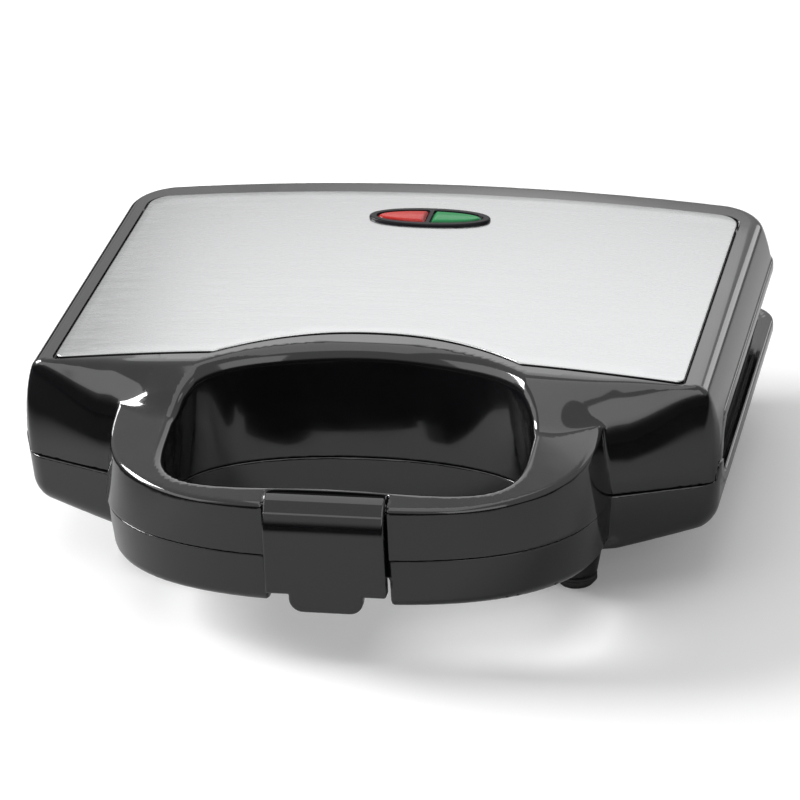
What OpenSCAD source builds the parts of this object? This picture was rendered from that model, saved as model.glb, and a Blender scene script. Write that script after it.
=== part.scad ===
// Sandwich toaster with a hinged lid, a loop handle and a sprung front latch.
// Origin: bottom centre of the closed toaster. +X is to the right, -Y to the front, +Z up.

/* [Body] */
// Width over the rims at the sides
body_w = 239; // [225:1:260]
// Width of the lid's top face
lid_top_w = 233; // [220:1:250]
// Depth from the front corners to the back face
body_d = 155; // [145:1:175]
// How far the front face comes forward at the handle, past its corners
front_bow = 13.5; // [8:0.5:18]
// Radius of the rear corners, seen from above
rear_corner_r = 14; // [8:0.5:20]
// Radius of the front corners, seen from above
front_corner_r = 5; // [3:0.5:8]
// Wall of both housings
wall = 2.6; // [2:0.1:3.2]

/* [Heights] */
// Height from the floor to the middle of the steel inlay
total_h = 79.2; // [76:0.2:84]
// Height of the seam between the two housings at the front
seam_z = 39; // [37:0.5:40]
// Height of the plane where the two plates meet
plate_z = 44; // [43:0.5:46]
// Height of the lower rim's top face at the sides
lower_rim_z = 36; // [35:0.5:37]
// Height of the upper rim's lower face at the sides
upper_rim_z = 54; // [53:0.5:56]
// Thickness of each rim
rim_t = 4.3; // [3.5:0.1:5]
// Height of the housing's flat underside
base_z = 12; // [11:0.5:14]
// Height of the lower housing's bottom edge at its front corners
skirt_z = 24; // [22:0.5:26]
// Rise of the lid's crown over the width of the inlay
crown = 5.2; // [3:0.2:7]

/* [Handle] */
// Width of the handle where it meets the body
handle_w = 170; // [156:1:184]
// How far the handle reaches in front of the body's front corners
handle_reach = 69.7; // [64:0.5:76]
// Squareness of the handle's outline, where 2 is an ellipse
handle_power = 2.6; // [2.2:0.1:3]
// Height of the handle's top at its front
handle_top_z = 59.5; // [58:0.5:62]
// Height of the handle's underside
handle_low_z = 21; // [20:0.5:22]
// Width of the finger opening
grip_w = 124; // [112:1:134]
// Depth of the finger opening
grip_d = 70.5; // [64:0.5:74]
// Thickness of the front bar of the handle, in front of the finger opening
bar_t = 11.3; // [10.8:0.1:14]

/* [Inlay and lamps] */
// Width of the steel inlay
inlay_w = 214; // [200:1:220]
// Depth of the steel inlay
inlay_d = 142.5; // [136:0.5:148]
// Width of the wave in the inlay's front edge
wave_w = 108; // [96:1:124]
// Depth of the wave in the inlay's front edge
wave_d = 18.9; // [12:0.1:22]
// Thickness of the inlay
inlay_t = 1.6; // [1.2:0.1:2.2]
// How far the inlay stands above the lid around it
inlay_rise = 0.6; // [0.3:0.1:1]
// Width of the shadow gap around the inlay
inlay_gap = 1; // [0.6:0.1:1.4]
// Length of the lamp bezel
bezel_w = 43.6; // [38:0.2:50]
// Depth of the lamp bezel
bezel_d = 15.6; // [14:0.2:18]
// Distance from the inlay's rear edge to the middle of the bezel
bezel_back = 24; // [18:0.5:32]

/* [Plates and heaters] */
// Distance from the body's widest part to each side of the baking plates
plate_margin = 8.5; // [8:0.5:12]
// Depth of each baking plate
plate_d = 128; // [120:1:130]
// Thickness of each baking plate
plate_t = 11; // [10:0.5:12]
// Depth of the bread pockets
pocket_d = 7.5; // [6:0.5:8]
// Width of the plate's rim beside each bread pocket
pocket_rim = 8; // [6:0.5:12]
// Length of one bread pocket, front to back
pocket_l = 112; // [104:1:116]
// Width of the ridge that cuts the bread
ridge_w = 5; // [4:0.5:8]
// Gap between the two plates when closed
plate_gap = 0.3; // [0.2:0.1:0.6]
// Diameter of the tubular heater
heater_dia = 6.5; // [5.5:0.1:6.7]
// Distance between the heater's two legs
heater_pitch = 64; // [58:1:68]
// Distance from the plate's side to the heater's straight legs, at their contact ends
heater_inset = 29; // [26:1:40]
// Thickness of the reflector sheet
reflector_t = 1; // [0.8:0.1:1.1]

/* [Latch] */
// Width of the latch
latch_w = 40; // [34:1:46]
// Thickness of the latch's front
latch_t = 3; // [2.6:0.1:3.6]
// Width of the finger tab below the latch
tab_w = 25; // [18:1:30]
// Height of the finger tab
tab_h = 5; // [4:0.5:6]
// Diameter of the latch pin
latch_pin_dia = 3; // [2.6:0.1:3.2]
// How far the hook reaches into the lower handle
hook_depth = 3; // [2.5:0.1:3.5]

/* [Hinge] */
// Outer diameter of the hinge knuckles
knuckle_dia = 11; // [10:0.5:12]
// Diameter of the hinge pins
hinge_pin_dia = 4; // [3.5:0.1:5]
// Distance from the body's side to the centre of each hinge
hinge_inset = 43.5; // [38:0.5:52]
// Width of the lid's knuckle
lid_knuckle_w = 16; // [12:0.5:20]
// Width of each of the base's knuckles
base_knuckle_w = 8; // [6:0.5:9]
// Height of the hinge axis
hinge_z = 46; // [45.5:0.5:47]

/* [Legs and inlet] */
// Distance from the middle to each leg
leg_x = 70; // [60:1:80]
// Diameter of a leg at its lower end
leg_dia = 14; // [12:0.5:18]
// Diameter of a leg at the housing
leg_top_dia = 21; // [18:0.5:26]
// Height of the rubber pad under each leg
pad_h = 4; // [3:0.5:6]
// Diameter of the stem that holds a pad
pad_stem_dia = 5; // [4:0.1:6]
// Diameter of the hole for the supply cord
cord_hole_dia = 7; // [6:0.1:9]
// Distance from the middle to the cord inlet
cord_x = 38; // [20:1:45]

/* [Fits] */
// Clearance of moving parts
run_gap = 0.3; // [0.2:0.05:0.4]
// Clearance of parts that sit still
seat_gap = 0.1; // [0.05:0.05:0.2]
// Width of the seam between the two housings
seam_gap = 0.3; // [0.2:0.05:0.5]

/* [Hidden] */
$fn = 48;
big = 400;

// Front to back
latch_proud = latch_t + run_gap;
total_d = latch_proud + handle_reach + body_d + knuckle_dia;
front_y = -total_d / 2 + latch_proud + handle_reach;
back_y = front_y + body_d;
bar_y = front_y - handle_reach;
root_y = front_y - front_bow;
hinge_y = back_y + knuckle_dia / 2;
hinge_x = body_w / 2 - hinge_inset;

// Inlay and crown
inlay_y = front_y + 3;
bezel_y = inlay_y + inlay_d - bezel_back;
lid_top_z = total_h - inlay_rise;
crown_r = (pow(inlay_w / 2, 2) + pow(crown, 2)) / (2 * crown);
lid_edge_z = lid_top_z - crown_r + sqrt(pow(crown_r, 2) - pow(lid_top_w / 2, 2));
edge_round = 3;

// Handle and finger opening
grip_front_y = bar_y + bar_t;
grip_back_y = grip_front_y + grip_d;
grip_y = grip_front_y + grip_d / 2;
grip_lean = 6;
handle_y = root_y + 4;
handle_b = handle_y - bar_y;
handle_crown_r = 495;
handle_taper = 2;

// Parting and lower housing
turn_z = plate_z + 1;
skirt_in = 3.6;
under_r = (pow(body_w / 2 - 5, 2) + pow(skirt_z - base_z, 2)) / (2 * (skirt_z - base_z));
leg_top_z = skirt_z - 3;

// Plates
plate_w = body_w - 2 * plate_margin;
pocket_mid = 7;
pocket_w = plate_w / 2 - pocket_mid - pocket_rim;
plate_y = grip_back_y + wall + 2.6 + plate_d / 2;
post_dia = 8;
post_y = 20;
screw_dia = 3.5;
screw_head_dia = 7.6;
screw_head_h = 2.4;
heater_y = heater_pitch / 2;
heater_leg = plate_w - heater_inset - heater_y - 21;
reflector_h = heater_dia + reflector_t + 0.5;

// Lamps
bezel_hole_gap = 0.3;
bezel_lip = 2;
bezel_skirt = 6;
lens_gap = 0.2;
lamp_x = 9;
lamp_dia = 4.6;
holder_h = 6;
holder_z = lid_top_z - bezel_skirt - seat_gap - holder_h;
lamp_z = holder_z + holder_h - 3.1;

// Cord inlet
cord_bush_dia = cord_hole_dia + 5;
cord_z = lower_rim_z - rim_t - cord_bush_dia / 2 - 0.5;

// Latch
latch_y = bar_y + 5.7;
latch_z = handle_top_z - 6;
latch_low_z = handle_low_z + 6;
latch_top_z = handle_top_z - 1;
barrel_r = latch_pin_dia / 2 + 1.7;
notch_w = latch_w + 2 * run_gap + 0.6;
notch_back_y = latch_y + barrel_r + run_gap;
hook_z = latch_low_z + 1;
hook_h = 3.2;
hook_reach = hook_depth + handle_taper * (seam_z + 2 - hook_z) / (seam_z - 1 - handle_low_z);
spring_w = 11;
low_core_w = grip_w - 28;

// ---- outlines ----

function unit(v) = v / norm(v);

// A polygon's corners rounded. Each point is [x, y, radius].
function corner(a, b, c, r, n = 6) =
    let (
        u = unit(a - b),
        w = unit(c - b),
        h = acos(u * w) / 2,
        m = b + unit(u + w) * r / sin(h),
        s = b + u * r / tan(h) - m,
        turn = sign(cross(b - a, c - b)) * (180 - 2 * h)
    )
    [for (i = [0:n]) let (q = i / n * turn) m + [s[0] * cos(q) - s[1] * sin(q), s[0] * sin(q) + s[1] * cos(q)]];

function xy(p) = [p[0], p[1]];

function rounded(pts) = let (k = len(pts)) [
    for (i = [0:k - 1])
        each pts[i][2] == 0
            ? [xy(pts[i])]
            : corner(xy(pts[(i + k - 1) % k]), xy(pts[i]), xy(pts[(i + 1) % k]), pts[i][2])
];

// One point of a superellipse with half axes a and b
function super(a, b, n, t) =
    [a * sign(cos(t)) * pow(abs(cos(t)), 2 / n), b * sign(sin(t)) * pow(abs(sin(t)), 2 / n)];

// The body from above, grown by g, with half width hw
function body_points(hw, g = 0, bow = front_bow) =
    let (y0 = front_y - g, y1 = back_y + g, root = min(handle_w / 2, hw - front_corner_r - 1))
    rounded([
        [hw, y1, rear_corner_r + g],
        [-hw, y1, rear_corner_r + g],
        [-hw, y0, front_corner_r],
        [-root, y0 - bow, 0],
        [root, y0 - bow, 0],
        [hw, y0, front_corner_r]
    ]);

// The handle from above, grown by g, from its front to a straight back edge
function handle_points(g = 0, back = front_y) = concat(
    [for (i = [0:24]) super(handle_w / 2 + g, handle_b + g, handle_power, 180 + i * 7.5) + [0, handle_y]],
    [[handle_w / 2 + g, back], [-handle_w / 2 - g, back]]
);

// The finger opening from above, grown by g: squarer at its front than at its back, which leans in by lean
function grip_points(g = 0, lean = 0) = [
    for (i = [0:39])
        super(grip_w / 2 + g, grip_d / 2 + g - (i < 20 ? lean : 0), i < 20 ? 2.2 : 4, i * 9) + [0, grip_y]
];

function at_height(pts, z) = [for (p = pts) [p[0], p[1], z]];

// A solid through rings of points, lowest first. The first and last ring are flat.
module loft(rings) {
    n = len(rings[0]);
    k = len(rings) - 1;
    polyhedron(
        [for (r = rings, p = r) p],
        concat(
            [[for (i = [0:n - 1]) i]],
            [[for (i = [0:n - 1]) k * n + n - 1 - i]],
            [for (r = [0:k - 1], i = [0:n - 1]) let (j = (i + 1) % n)
                each [[r * n + i, (r + 1) * n + i, (r + 1) * n + j], [r * n + i, (r + 1) * n + j, r * n + j]]]
        )
    );
}

module body_outline(hw, g = 0, bow = front_bow) polygon(body_points(hw, g, bow));
module handle_outline(g = 0, back = front_y) polygon(handle_points(g, back));
module grip_outline(g = 0) polygon(grip_points(g));

// The opening's cutter: its back wall leans forward towards the floor
module grip_cutter() {
    loft([at_height(grip_points(0, grip_lean), base_z - 2), at_height(grip_points(), total_h + 1)]);
}

function wave(x) = wave_d * max(0, 1 - pow(abs(x) / (wave_w / 2), 2.2));

// The inlay from above, grown by g
module inlay_outline(g = 0) {
    hw = inlay_w / 2 + g;
    polygon(rounded([
        [hw, inlay_y - g, 3],
        [hw, inlay_y + inlay_d + g, 7],
        [-hw, inlay_y + inlay_d + g, 7],
        [-hw, inlay_y - g, 3]
    ]));
}

// What the wave leaves free in front of the inlay, grown by g
module wave_outline(g = 0) {
    n = 24;
    polygon(concat(
        [[-wave_w / 2 - g, front_y - 60], [wave_w / 2 + g, front_y - 60]],
        [for (i = [0:n]) let (x = wave_w / 2 * (1 - 2 * i / n)) [x * (1 + 2 * g / wave_w), inlay_y + wave(x) + g]]
    ));
}

// A solid cylinder along Y whose top is the crown at height z
module crowned(z) {
    translate([0, 0, z - crown_r])
        rotate([90, 0, 0])
            cylinder(r = crown_r, h = 2 * big, center = true, $fn = 360);
}

// A solid seen from the side, as [y, z] points, right across the width w
module across(w, pts) {
    translate([-w / 2, 0, 0])
        rotate([90, 0, 90])
            linear_extrude(w) polygon(pts);
}

// ---- parting shapes, seen from the side ----

// All that the lid leaves to the base: at the sides its lower edge climbs to the rim
module below_lid(gap) {
    across(big, rounded([
        [front_y + 1.5 - gap, seam_z + gap, 0],
        [front_y + 3.5 - gap, turn_z + gap, 0],
        [front_y + 8.2, turn_z + gap, 0],
        [front_y + 17, upper_rim_z, 6],
        [back_y + 40, upper_rim_z, 0],
        [back_y + 40, -10, 0],
        [front_y + 1.5 - gap, -10, 0]
    ]));
    across(big, [
        [front_y - 90, seam_z + gap],
        [front_y + 1.5, seam_z + gap],
        [front_y + 1.5, -10],
        [front_y - 90, -10]
    ]);
}

// All that the base leaves to the lid
module above_base(gap) {
    across(big, rounded([
        [front_y - 90, seam_z - gap, 0],
        [front_y + 1.5 + gap, seam_z - gap, 0],
        [front_y + 3.5 + gap, turn_z - gap, 0],
        [front_y + 8.2, turn_z - gap, 0],
        [front_y + 15, lower_rim_z, 4],
        [back_y + 40, lower_rim_z, 0],
        [back_y + 40, total_h + 40, 0],
        [front_y - 90, total_h + 40, 0]
    ]));
}

// Wall behind the finger opening, which both housings carry up to the seam
module grip_wall(z0, z1) {
    translate([0, 0, z0]) linear_extrude(z1 - z0) intersection() {
        grip_outline(wall);
        translate([-big / 2, front_y - 2]) square([big, big]);
    }
}

// ---- shells ----

module lid_block() {
    low = lid_edge_z - edge_round;
    intersection() {
        loft([
            at_height(body_points(body_w / 2 - 1.2), seam_z - 5),
            at_height(body_points(lid_top_w / 2 + 0.3), low),
            at_height(body_points(lid_top_w / 2 - 0.6, -0.9), lid_edge_z - 0.8),
            at_height(body_points(lid_top_w / 2 - edge_round, -edge_round), lid_edge_z + 1.2),
            at_height(body_points(lid_top_w / 2 - edge_round - 0.5, -edge_round - 0.5), total_h + 3)
        ]);
        crowned(lid_top_z);
    }
}

// All below the handle's top, which slopes down to the front and is crowned across
module below_handle_top() {
    run = inlay_y + wave_d - bar_y;
    fall = lid_top_z - 0.4 - handle_top_z;
    translate([0, bar_y, handle_top_z])
        rotate([atan(fall / run), 0, 0])
            translate([0, 0, -handle_crown_r])
                rotate([90, 0, 0])
                    cylinder(r = handle_crown_r, h = 2 * big, center = true, $fn = 180);
}

module upper_handle_block(g = 0) {
    intersection() {
        linear_extrude(total_h) union() {
            handle_outline(g, front_y);
            wave_outline(1 + g);
        }
        below_handle_top();
    }
}

module lower_handle_block() {
    loft([
        at_height(handle_points(-handle_taper - 2.5), handle_low_z),
        at_height(handle_points(-handle_taper), handle_low_z + 3),
        at_height(handle_points(), seam_z + 2)
    ]);
}

// A solid cylinder along Y: the curved underside of the base, taken in by g
module above_underside(g = 0) {
    translate([0, 0, base_z + under_r])
        rotate([90, 0, 0])
            cylinder(r = under_r - g, h = 2 * big, center = true, $fn = 180);
}

module base_block() {
    lean = atan(skirt_in / (seam_z - skirt_z));
    intersection() {
        translate([0, 0, base_z]) linear_extrude(plate_z + 2 - base_z) body_outline(body_w / 2 - 1.2);
        above_underside();
        for (s = [-1, 1])
            translate([s * (body_w / 2 - 1.2), 0, seam_z + 2]) rotate([0, s * lean, 0])
                translate([s > 0 ? -big : 0, -big / 2, -big / 2]) cube([big, big, big]);
    }
}

// The rims that stand out at the sides and the back, seen from the side as pts
module rims(pts) {
    w = 5;
    intersection() {
        linear_extrude(total_h) difference() {
            body_outline(body_w / 2);
            translate([0, w / 2]) body_outline(body_w / 2 - w, -w / 2);
        }
        across(big, rounded(pts));
    }
}

module lower_rims() {
    rims([
        [back_y + 1, lower_rim_z - rim_t, 0],
        [back_y + 1, lower_rim_z + 1, 0],
        [front_y + 15, lower_rim_z + 1, 4],
        [front_y + 8.2, turn_z + 1, 0],
        [front_y + 3, turn_z + 1, 0],
        [front_y + 9.5, lower_rim_z - rim_t, 5]
    ]);
}

module upper_rims() {
    rims([
        [back_y + 1, upper_rim_z - 1, 0],
        [back_y + 1, upper_rim_z + rim_t, 0],
        [front_y + 12, upper_rim_z + rim_t, 9],
        [front_y + 3, turn_z - 1, 0],
        [front_y + 8.2, turn_z - 1, 0],
        [front_y + 17, upper_rim_z - 1, 5]
    ]);
}

// The room inside a housing, seen from above, with the handle's walls this thick
// and the bar behind the latch solid over this width
module inside_outline(handle_wall, core_w) {
    difference() {
        union() {
            body_outline(body_w / 2 - 7, -wall - 1);
            handle_outline(-handle_wall, front_y + 10);
        }
        grip_outline(wall);
        translate([-core_w / 2, bar_y]) square([core_w, bar_t + 4]);
    }
}

module plate_posts(z0, z1) {
    for (s = [-1, 1])
        translate([0, plate_y + s * post_y, z0]) cylinder(d = post_dia, h = z1 - z0);
}

// ---- base ----

function leg_pos(sx, sy) = [sx * leg_x, sy < 0 ? front_y : back_y - 28, 0];

module hinge_knuckle(x, w, z0, z1) {
    translate([x - w / 2, hinge_y, hinge_z])
        rotate([0, 90, 0]) cylinder(d = knuckle_dia, h = w);
    translate([x - w / 2, back_y - 4, z0]) cube([w, hinge_y - back_y + 4, z1 - z0]);
}

module hinge_bore(d) {
    translate([-big / 2, hinge_y, hinge_z])
        rotate([0, 90, 0]) cylinder(d = d, h = big);
}

module lower_housing() {
    knuckle_x = lid_knuckle_w / 2 + run_gap + base_knuckle_w / 2;
    color([0.05, 0.05, 0.055]) difference() {
        union() {
            difference() {
                union() {
                    base_block();
                    lower_handle_block();
                    lower_rims();
                }
                above_base(seam_gap / 2);
                // room for the plate, the heater and the wiring
                intersection() {
                    translate([0, 0, handle_low_z - 9]) linear_extrude(total_h) inside_outline(wall + 3.4, low_core_w);
                    above_underside(wall);
                    union() {
                        translate([-big / 2, -big / 2, handle_low_z + wall]) cube([big, big, big]);
                        translate([-big / 2, root_y + wall, 0]) cube([big, big, big]);
                    }
                }
                // the well's wall ends at the seam, under the lid's own
                translate([0, 0, seam_z - seam_gap / 2]) linear_extrude(total_h) grip_outline(wall + run_gap);
                // slot for the latch's hook
                translate([-latch_w / 2 - 1, bar_y - 5, hook_z - 0.8])
                    cube([latch_w + 2, 5 + hook_reach + 1.2, hook_h + 1.6]);
            }
            grip_wall(lower_rim_z - 4, seam_z - seam_gap / 2);
            plate_posts(base_z + 0.5, plate_z - plate_gap / 2 - plate_t - seat_gap);
            for (s = [-1, 1], t = [-1, 1])
                hinge_knuckle(s * hinge_x + t * knuckle_x, base_knuckle_w, lower_rim_z - rim_t, hinge_z);
            for (sx = [-1, 1], sy = [-1, 1])
                translate(leg_pos(sx, sy) + [0, 0, pad_h])
                    cylinder(d1 = leg_dia, d2 = leg_top_dia, h = leg_top_z - pad_h);
        }
        grip_cutter();
        hinge_bore(hinge_pin_dia + seat_gap);
        plate_posts_bores(base_z + 6, plate_z);
        for (sx = [-1, 1], sy = [-1, 1])
            translate(leg_pos(sx, sy)) cylinder(d = pad_stem_dia + 2 * seat_gap, h = pad_h + 8);
        translate([cord_x, back_y - 12, cord_z]) rotate([-90, 0, 0])
            cylinder(d = cord_bush_dia + 2 * seat_gap, h = 20);
    }
}

module plate_posts_bores(z0, z1) {
    for (s = [-1, 1])
        translate([0, plate_y + s * post_y, z0]) cylinder(d = screw_dia + 2 * seat_gap, h = z1 - z0);
}

module cord_inlet() {
    color([0.06, 0.06, 0.06]) translate([cord_x, back_y, cord_z]) rotate([-90, 0, 0]) difference() {
        union() {
            translate([0, 0, -9]) cylinder(d = cord_bush_dia, h = 11);
            cylinder(d = cord_bush_dia + 4, h = 2);
        }
        translate([0, 0, -10]) cylinder(d = cord_hole_dia, h = 14);
    }
}

module pad(sx, sy) {
    color([0.12, 0.12, 0.12]) translate(leg_pos(sx, sy)) {
        cylinder(d1 = leg_dia - 3, d2 = leg_dia, h = 1.5);
        translate([0, 0, 1.5]) cylinder(d = leg_dia, h = pad_h - 1.5 - seat_gap);
        cylinder(d = pad_stem_dia, h = pad_h + 6);
    }
}

module pad_front_left() pad(-1, -1);
module pad_front_right() pad(1, -1);
module pad_rear_left() pad(-1, 1);
module pad_rear_right() pad(1, 1);

module hinge_pin(s) {
    w = lid_knuckle_w + 2 * run_gap + 2 * base_knuckle_w;
    color([0.7, 0.7, 0.72]) translate([s * hinge_x - w / 2, hinge_y, hinge_z])
        rotate([0, 90, 0]) cylinder(d = hinge_pin_dia, h = w);
}

module hinge_pin_left() hinge_pin(-1);
module hinge_pin_right() hinge_pin(1);

// ---- plates, heaters and reflectors, drawn for the base with the face at z = 0 ----

// One half of a bread pocket, on one side of the diagonal ridge
module pocket_half(flip) {
    c = ridge_w * sqrt(2) / 2;
    x = pocket_w / 2;
    y = pocket_l / 2;
    mirror([flip, 0, 0]) mirror([0, flip, 0]) polygon(rounded([
        [-x, -y + c, 3],
        [-x, y, 8],
        [x - c, y, 3]
    ]));
}

module plate() {
    difference() {
        translate([0, 0, -plate_t]) linear_extrude(plate_t) polygon(rounded([
            [plate_w / 2, plate_d / 2, 12],
            [-plate_w / 2, plate_d / 2, 12],
            [-plate_w / 2, -plate_d / 2, 6],
            [plate_w / 2, -plate_d / 2, 6]
        ]));
        // bread pockets, each with a diagonal ridge
        for (s = [-1, 1], f = [0, 1])
            translate([s * (pocket_w / 2 + pocket_mid), 0, -pocket_d])
                mirror([s < 0 ? 1 : 0, 0, 0])
                    linear_extrude(pocket_d + 1) pocket_half(f);
        // screws, sunk in the bar between the pockets
        for (s = [-1, 1]) translate([0, s * post_y, 0]) {
            translate([0, 0, -plate_t - 1]) cylinder(d = screw_dia + 2 * seat_gap, h = plate_t + 2);
            translate([0, 0, -screw_head_h - 0.3]) cylinder(d = screw_head_dia + 0.8, h = screw_head_h + 1);
        }
    }
}

module plate_screws() {
    for (s = [-1, 1]) translate([0, s * post_y, 0]) {
        translate([0, 0, -screw_head_h - 0.2]) cylinder(d = screw_head_dia, h = screw_head_h);
        translate([0, 0, -plate_t - 8]) cylinder(d = screw_dia, h = plate_t + 7);
    }
}

// U-shaped tube with a contact pin at each end
module heater() {
    r = heater_dia / 2;
    x0 = heater_inset - plate_w / 2;
    x1 = x0 + heater_leg;
    translate([0, 0, -plate_t - seat_gap - r]) {
        for (s = [-1, 1]) translate([x0, s * heater_y, 0]) rotate([0, 90, 0]) {
            cylinder(r = r, h = heater_leg);
            translate([0, 0, -7]) cylinder(r = r * 0.4, h = 8);
        }
        translate([x1, 0, 0]) rotate([0, 0, -90]) rotate_extrude(angle = 180) translate([heater_y, 0]) circle(r = r);
    }
}

// Tray of bright sheet behind the heater
module reflector() {
    w = plate_w - 18;
    d = plate_d - 12;
    z = -plate_t - seat_gap - reflector_h;
    difference() {
        translate([-w / 2, -d / 2, z]) cube([w, d, reflector_h]);
        translate([-w / 2 + reflector_t, -d / 2 + reflector_t, z + reflector_t])
            cube([w - 2 * reflector_t, d - 2 * reflector_t, reflector_h]);
        for (s = [-1, 1]) translate([0, s * post_y, z - 1]) cylinder(d = post_dia + 1.2, h = 5);
    }
}

module in_base() {
    translate([0, plate_y, plate_z - plate_gap / 2]) children();
}

module in_lid() {
    translate([0, plate_y, plate_z + plate_gap / 2]) mirror([0, 0, 1]) children();
}

module lower_plate() color([0.1, 0.1, 0.1]) in_base() plate();
module upper_plate() color([0.1, 0.1, 0.1]) in_lid() plate();
module lower_heater() color([0.5, 0.5, 0.5]) in_base() heater();
module upper_heater() color([0.5, 0.5, 0.5]) in_lid() heater();
module lower_reflector() color([0.8, 0.8, 0.8]) in_base() reflector();
module upper_reflector() color([0.8, 0.8, 0.8]) in_lid() reflector();
module lower_plate_screws() color([0.6, 0.6, 0.6]) in_base() plate_screws();
module upper_plate_screws() color([0.6, 0.6, 0.6]) in_lid() plate_screws();

// Bimetal disc switch on the back of the lower plate
module thermostat() {
    color([0.75, 0.7, 0.6]) in_base() translate([-36, 0, -plate_t - seat_gap]) {
        translate([0, 0, -4]) cylinder(d = 18, h = 4);
        translate([0, 0, -6.2]) cylinder(d = 12, h = 3);
        for (s = [-1, 1]) translate([s * 9 - 3.6, -2, -5.6]) cube([7.2, 4, 2.4]);
    }
}

// Block on the floor that joins the cord to the wiring
module terminal_block() {
    h = 6;
    color([0.9, 0.9, 0.85]) translate([-15, back_y - 44, base_z + wall + 3 * seat_gap]) difference() {
        cube([30, 12, h]);
        for (i = [0:2]) translate([5 + 10 * i, 6, 1.5]) cylinder(d = 4, h = h);
    }
}

// ---- lid ----

module upper_housing() {
    color([0.05, 0.05, 0.055]) difference() {
        union() {
            difference() {
                union() {
                    difference() {
                        lid_block();
                        difference() {
                            linear_extrude(total_h + 5) wave_outline(0.5);
                            below_handle_top();
                        }
                    }
                    upper_handle_block();
                    upper_rims();
                }
                below_lid(seam_gap / 2);
                lid_room();
                // recess for the inlay
                difference() {
                    linear_extrude(total_h + 5) difference() {
                        inlay_outline(inlay_gap);
                        wave_outline(-inlay_gap);
                    }
                    crowned(lid_top_z - (inlay_t - inlay_rise));
                }
                // opening of the lamp bezel
                translate([0, bezel_y, lid_top_z - 12]) linear_extrude(20)
                    bezel_outline(-bezel_lip + bezel_hole_gap);
                // notch of the latch
                translate([-notch_w / 2, bar_y - 10, latch_z - barrel_r - run_gap])
                    cube([notch_w, notch_back_y - bar_y + 10, 40]);
            }
            grip_wall(seam_z + seam_gap / 2, upper_rim_z + 4);
            intersection() {
                plate_posts(plate_z + plate_gap / 2 + plate_t + seat_gap, lid_top_z);
                crowned(lid_top_z - 1.8);
            }
            for (s = [-1, 1])
                hinge_knuckle(s * hinge_x, lid_knuckle_w, hinge_z, upper_rim_z + rim_t);
        }
        grip_cutter();
        hinge_bore(hinge_pin_dia + run_gap);
        plate_posts_bores(plate_z, lid_top_z - 8);
        // bores of the latch pin
        translate([-notch_w / 2 - 4, latch_y, latch_z])
            rotate([0, 90, 0]) cylinder(d = latch_pin_dia + seat_gap, h = notch_w + 8);
    }
}

// The room inside the lid: lower under the handle's sloping top
module lid_room() {
    difference() {
        intersection() {
            translate([0, 0, seam_z - 1]) linear_extrude(total_h) inside_outline(wall + 0.6, notch_w + 12);
            crowned(lid_top_z - wall - 1);
        }
        difference() {
            linear_extrude(total_h) union() {
                wave_outline(wall + 1);
                translate([-big / 2, root_y + wall - big]) square([big, big]);
            }
            translate([0, 0, -wall - 0.5]) below_handle_top();
        }
    }
}

module bezel_outline(g = 0) {
    polygon([for (i = [0:47]) super(bezel_w / 2 + g, bezel_d / 2 + g, 2.1, i * 7.5)]);
}

module top_inlay() {
    color([0.75, 0.75, 0.75]) difference() {
        intersection() {
            linear_extrude(total_h + 5) difference() {
                inlay_outline();
                wave_outline(0);
            }
            difference() {
                crowned(lid_top_z + inlay_rise);
                crowned(lid_top_z + inlay_rise - inlay_t + seat_gap);
            }
        }
        translate([0, bezel_y, 0]) linear_extrude(total_h + 5) bezel_outline(-bezel_lip + bezel_hole_gap);
    }
}

// Half of an oval lens, with s = -1 for the left one
module lens_outline(s, g = 0) {
    intersection() {
        bezel_outline(-3.4 + g);
        translate([s > 0 ? 0.9 - g : -bezel_w, -bezel_d]) square([bezel_w - 0.9 + g, 2 * bezel_d]);
    }
}

module lamp_bezel() {
    color([0.03, 0.03, 0.03]) translate([0, bezel_y, 0]) difference() {
        union() {
            translate([0, 0, total_h + seat_gap]) linear_extrude(0.8) bezel_outline();
            translate([0, 0, lid_top_z - bezel_skirt]) linear_extrude(bezel_skirt + 1) bezel_outline(-bezel_lip);
        }
        for (s = [-1, 1]) translate([0, 0, lid_top_z - 8]) linear_extrude(12) lens_outline(s, lens_gap);
    }
}

module lens(s) {
    translate([0, bezel_y, 0]) {
        translate([0, 0, lid_top_z - 4]) linear_extrude(total_h + 1.4 - lid_top_z + 4) lens_outline(s);
        translate([s * lamp_x, 0, lamp_z + 2.6]) cylinder(d = lamp_dia - 0.2, h = 4);
    }
}

module red_lens() color([0.85, 0.05, 0.05]) lens(-1);
module green_lens() color([0.05, 0.6, 0.2]) lens(1);

// Carrier under the bezel that holds the two lamps
module lamp_holder() {
    d = lamp_dia + 0.4;
    color([0.85, 0.85, 0.8]) translate([0, bezel_y, 0]) difference() {
        translate([-18, -5, holder_z]) cube([36, 10, holder_h]);
        for (s = [-1, 1]) translate([s * lamp_x - 7, 0, lamp_z]) {
            rotate([0, 90, 0]) cylinder(d = d, h = 14);
            translate([0, -d / 2, 0]) cube([14, d, 4]);
        }
    }
}

module indicator_lamps() {
    color([0.95, 0.9, 0.85]) for (s = [-1, 1])
        translate([s * lamp_x - 6, bezel_y, lamp_z]) rotate([0, 90, 0]) cylinder(d = lamp_dia, h = 12);
}

// Fuse in its sleeve, clipped to the upper reflector
module thermal_fuse() {
    z = plate_z + plate_gap / 2 + plate_t + seat_gap + reflector_h + seat_gap;
    color([0.85, 0.85, 0.8]) translate([-52, plate_y, z]) {
        difference() {
            translate([-9, -4, 0]) cube([18, 8, 3.4]);
            translate([-10, 0, 3.6]) rotate([0, 90, 0]) cylinder(d = 4.2, h = 20);
        }
        translate([-12, 0, 3.7]) rotate([0, 90, 0]) cylinder(d = 4, h = 24);
    }
}

// ---- latch ----

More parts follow.
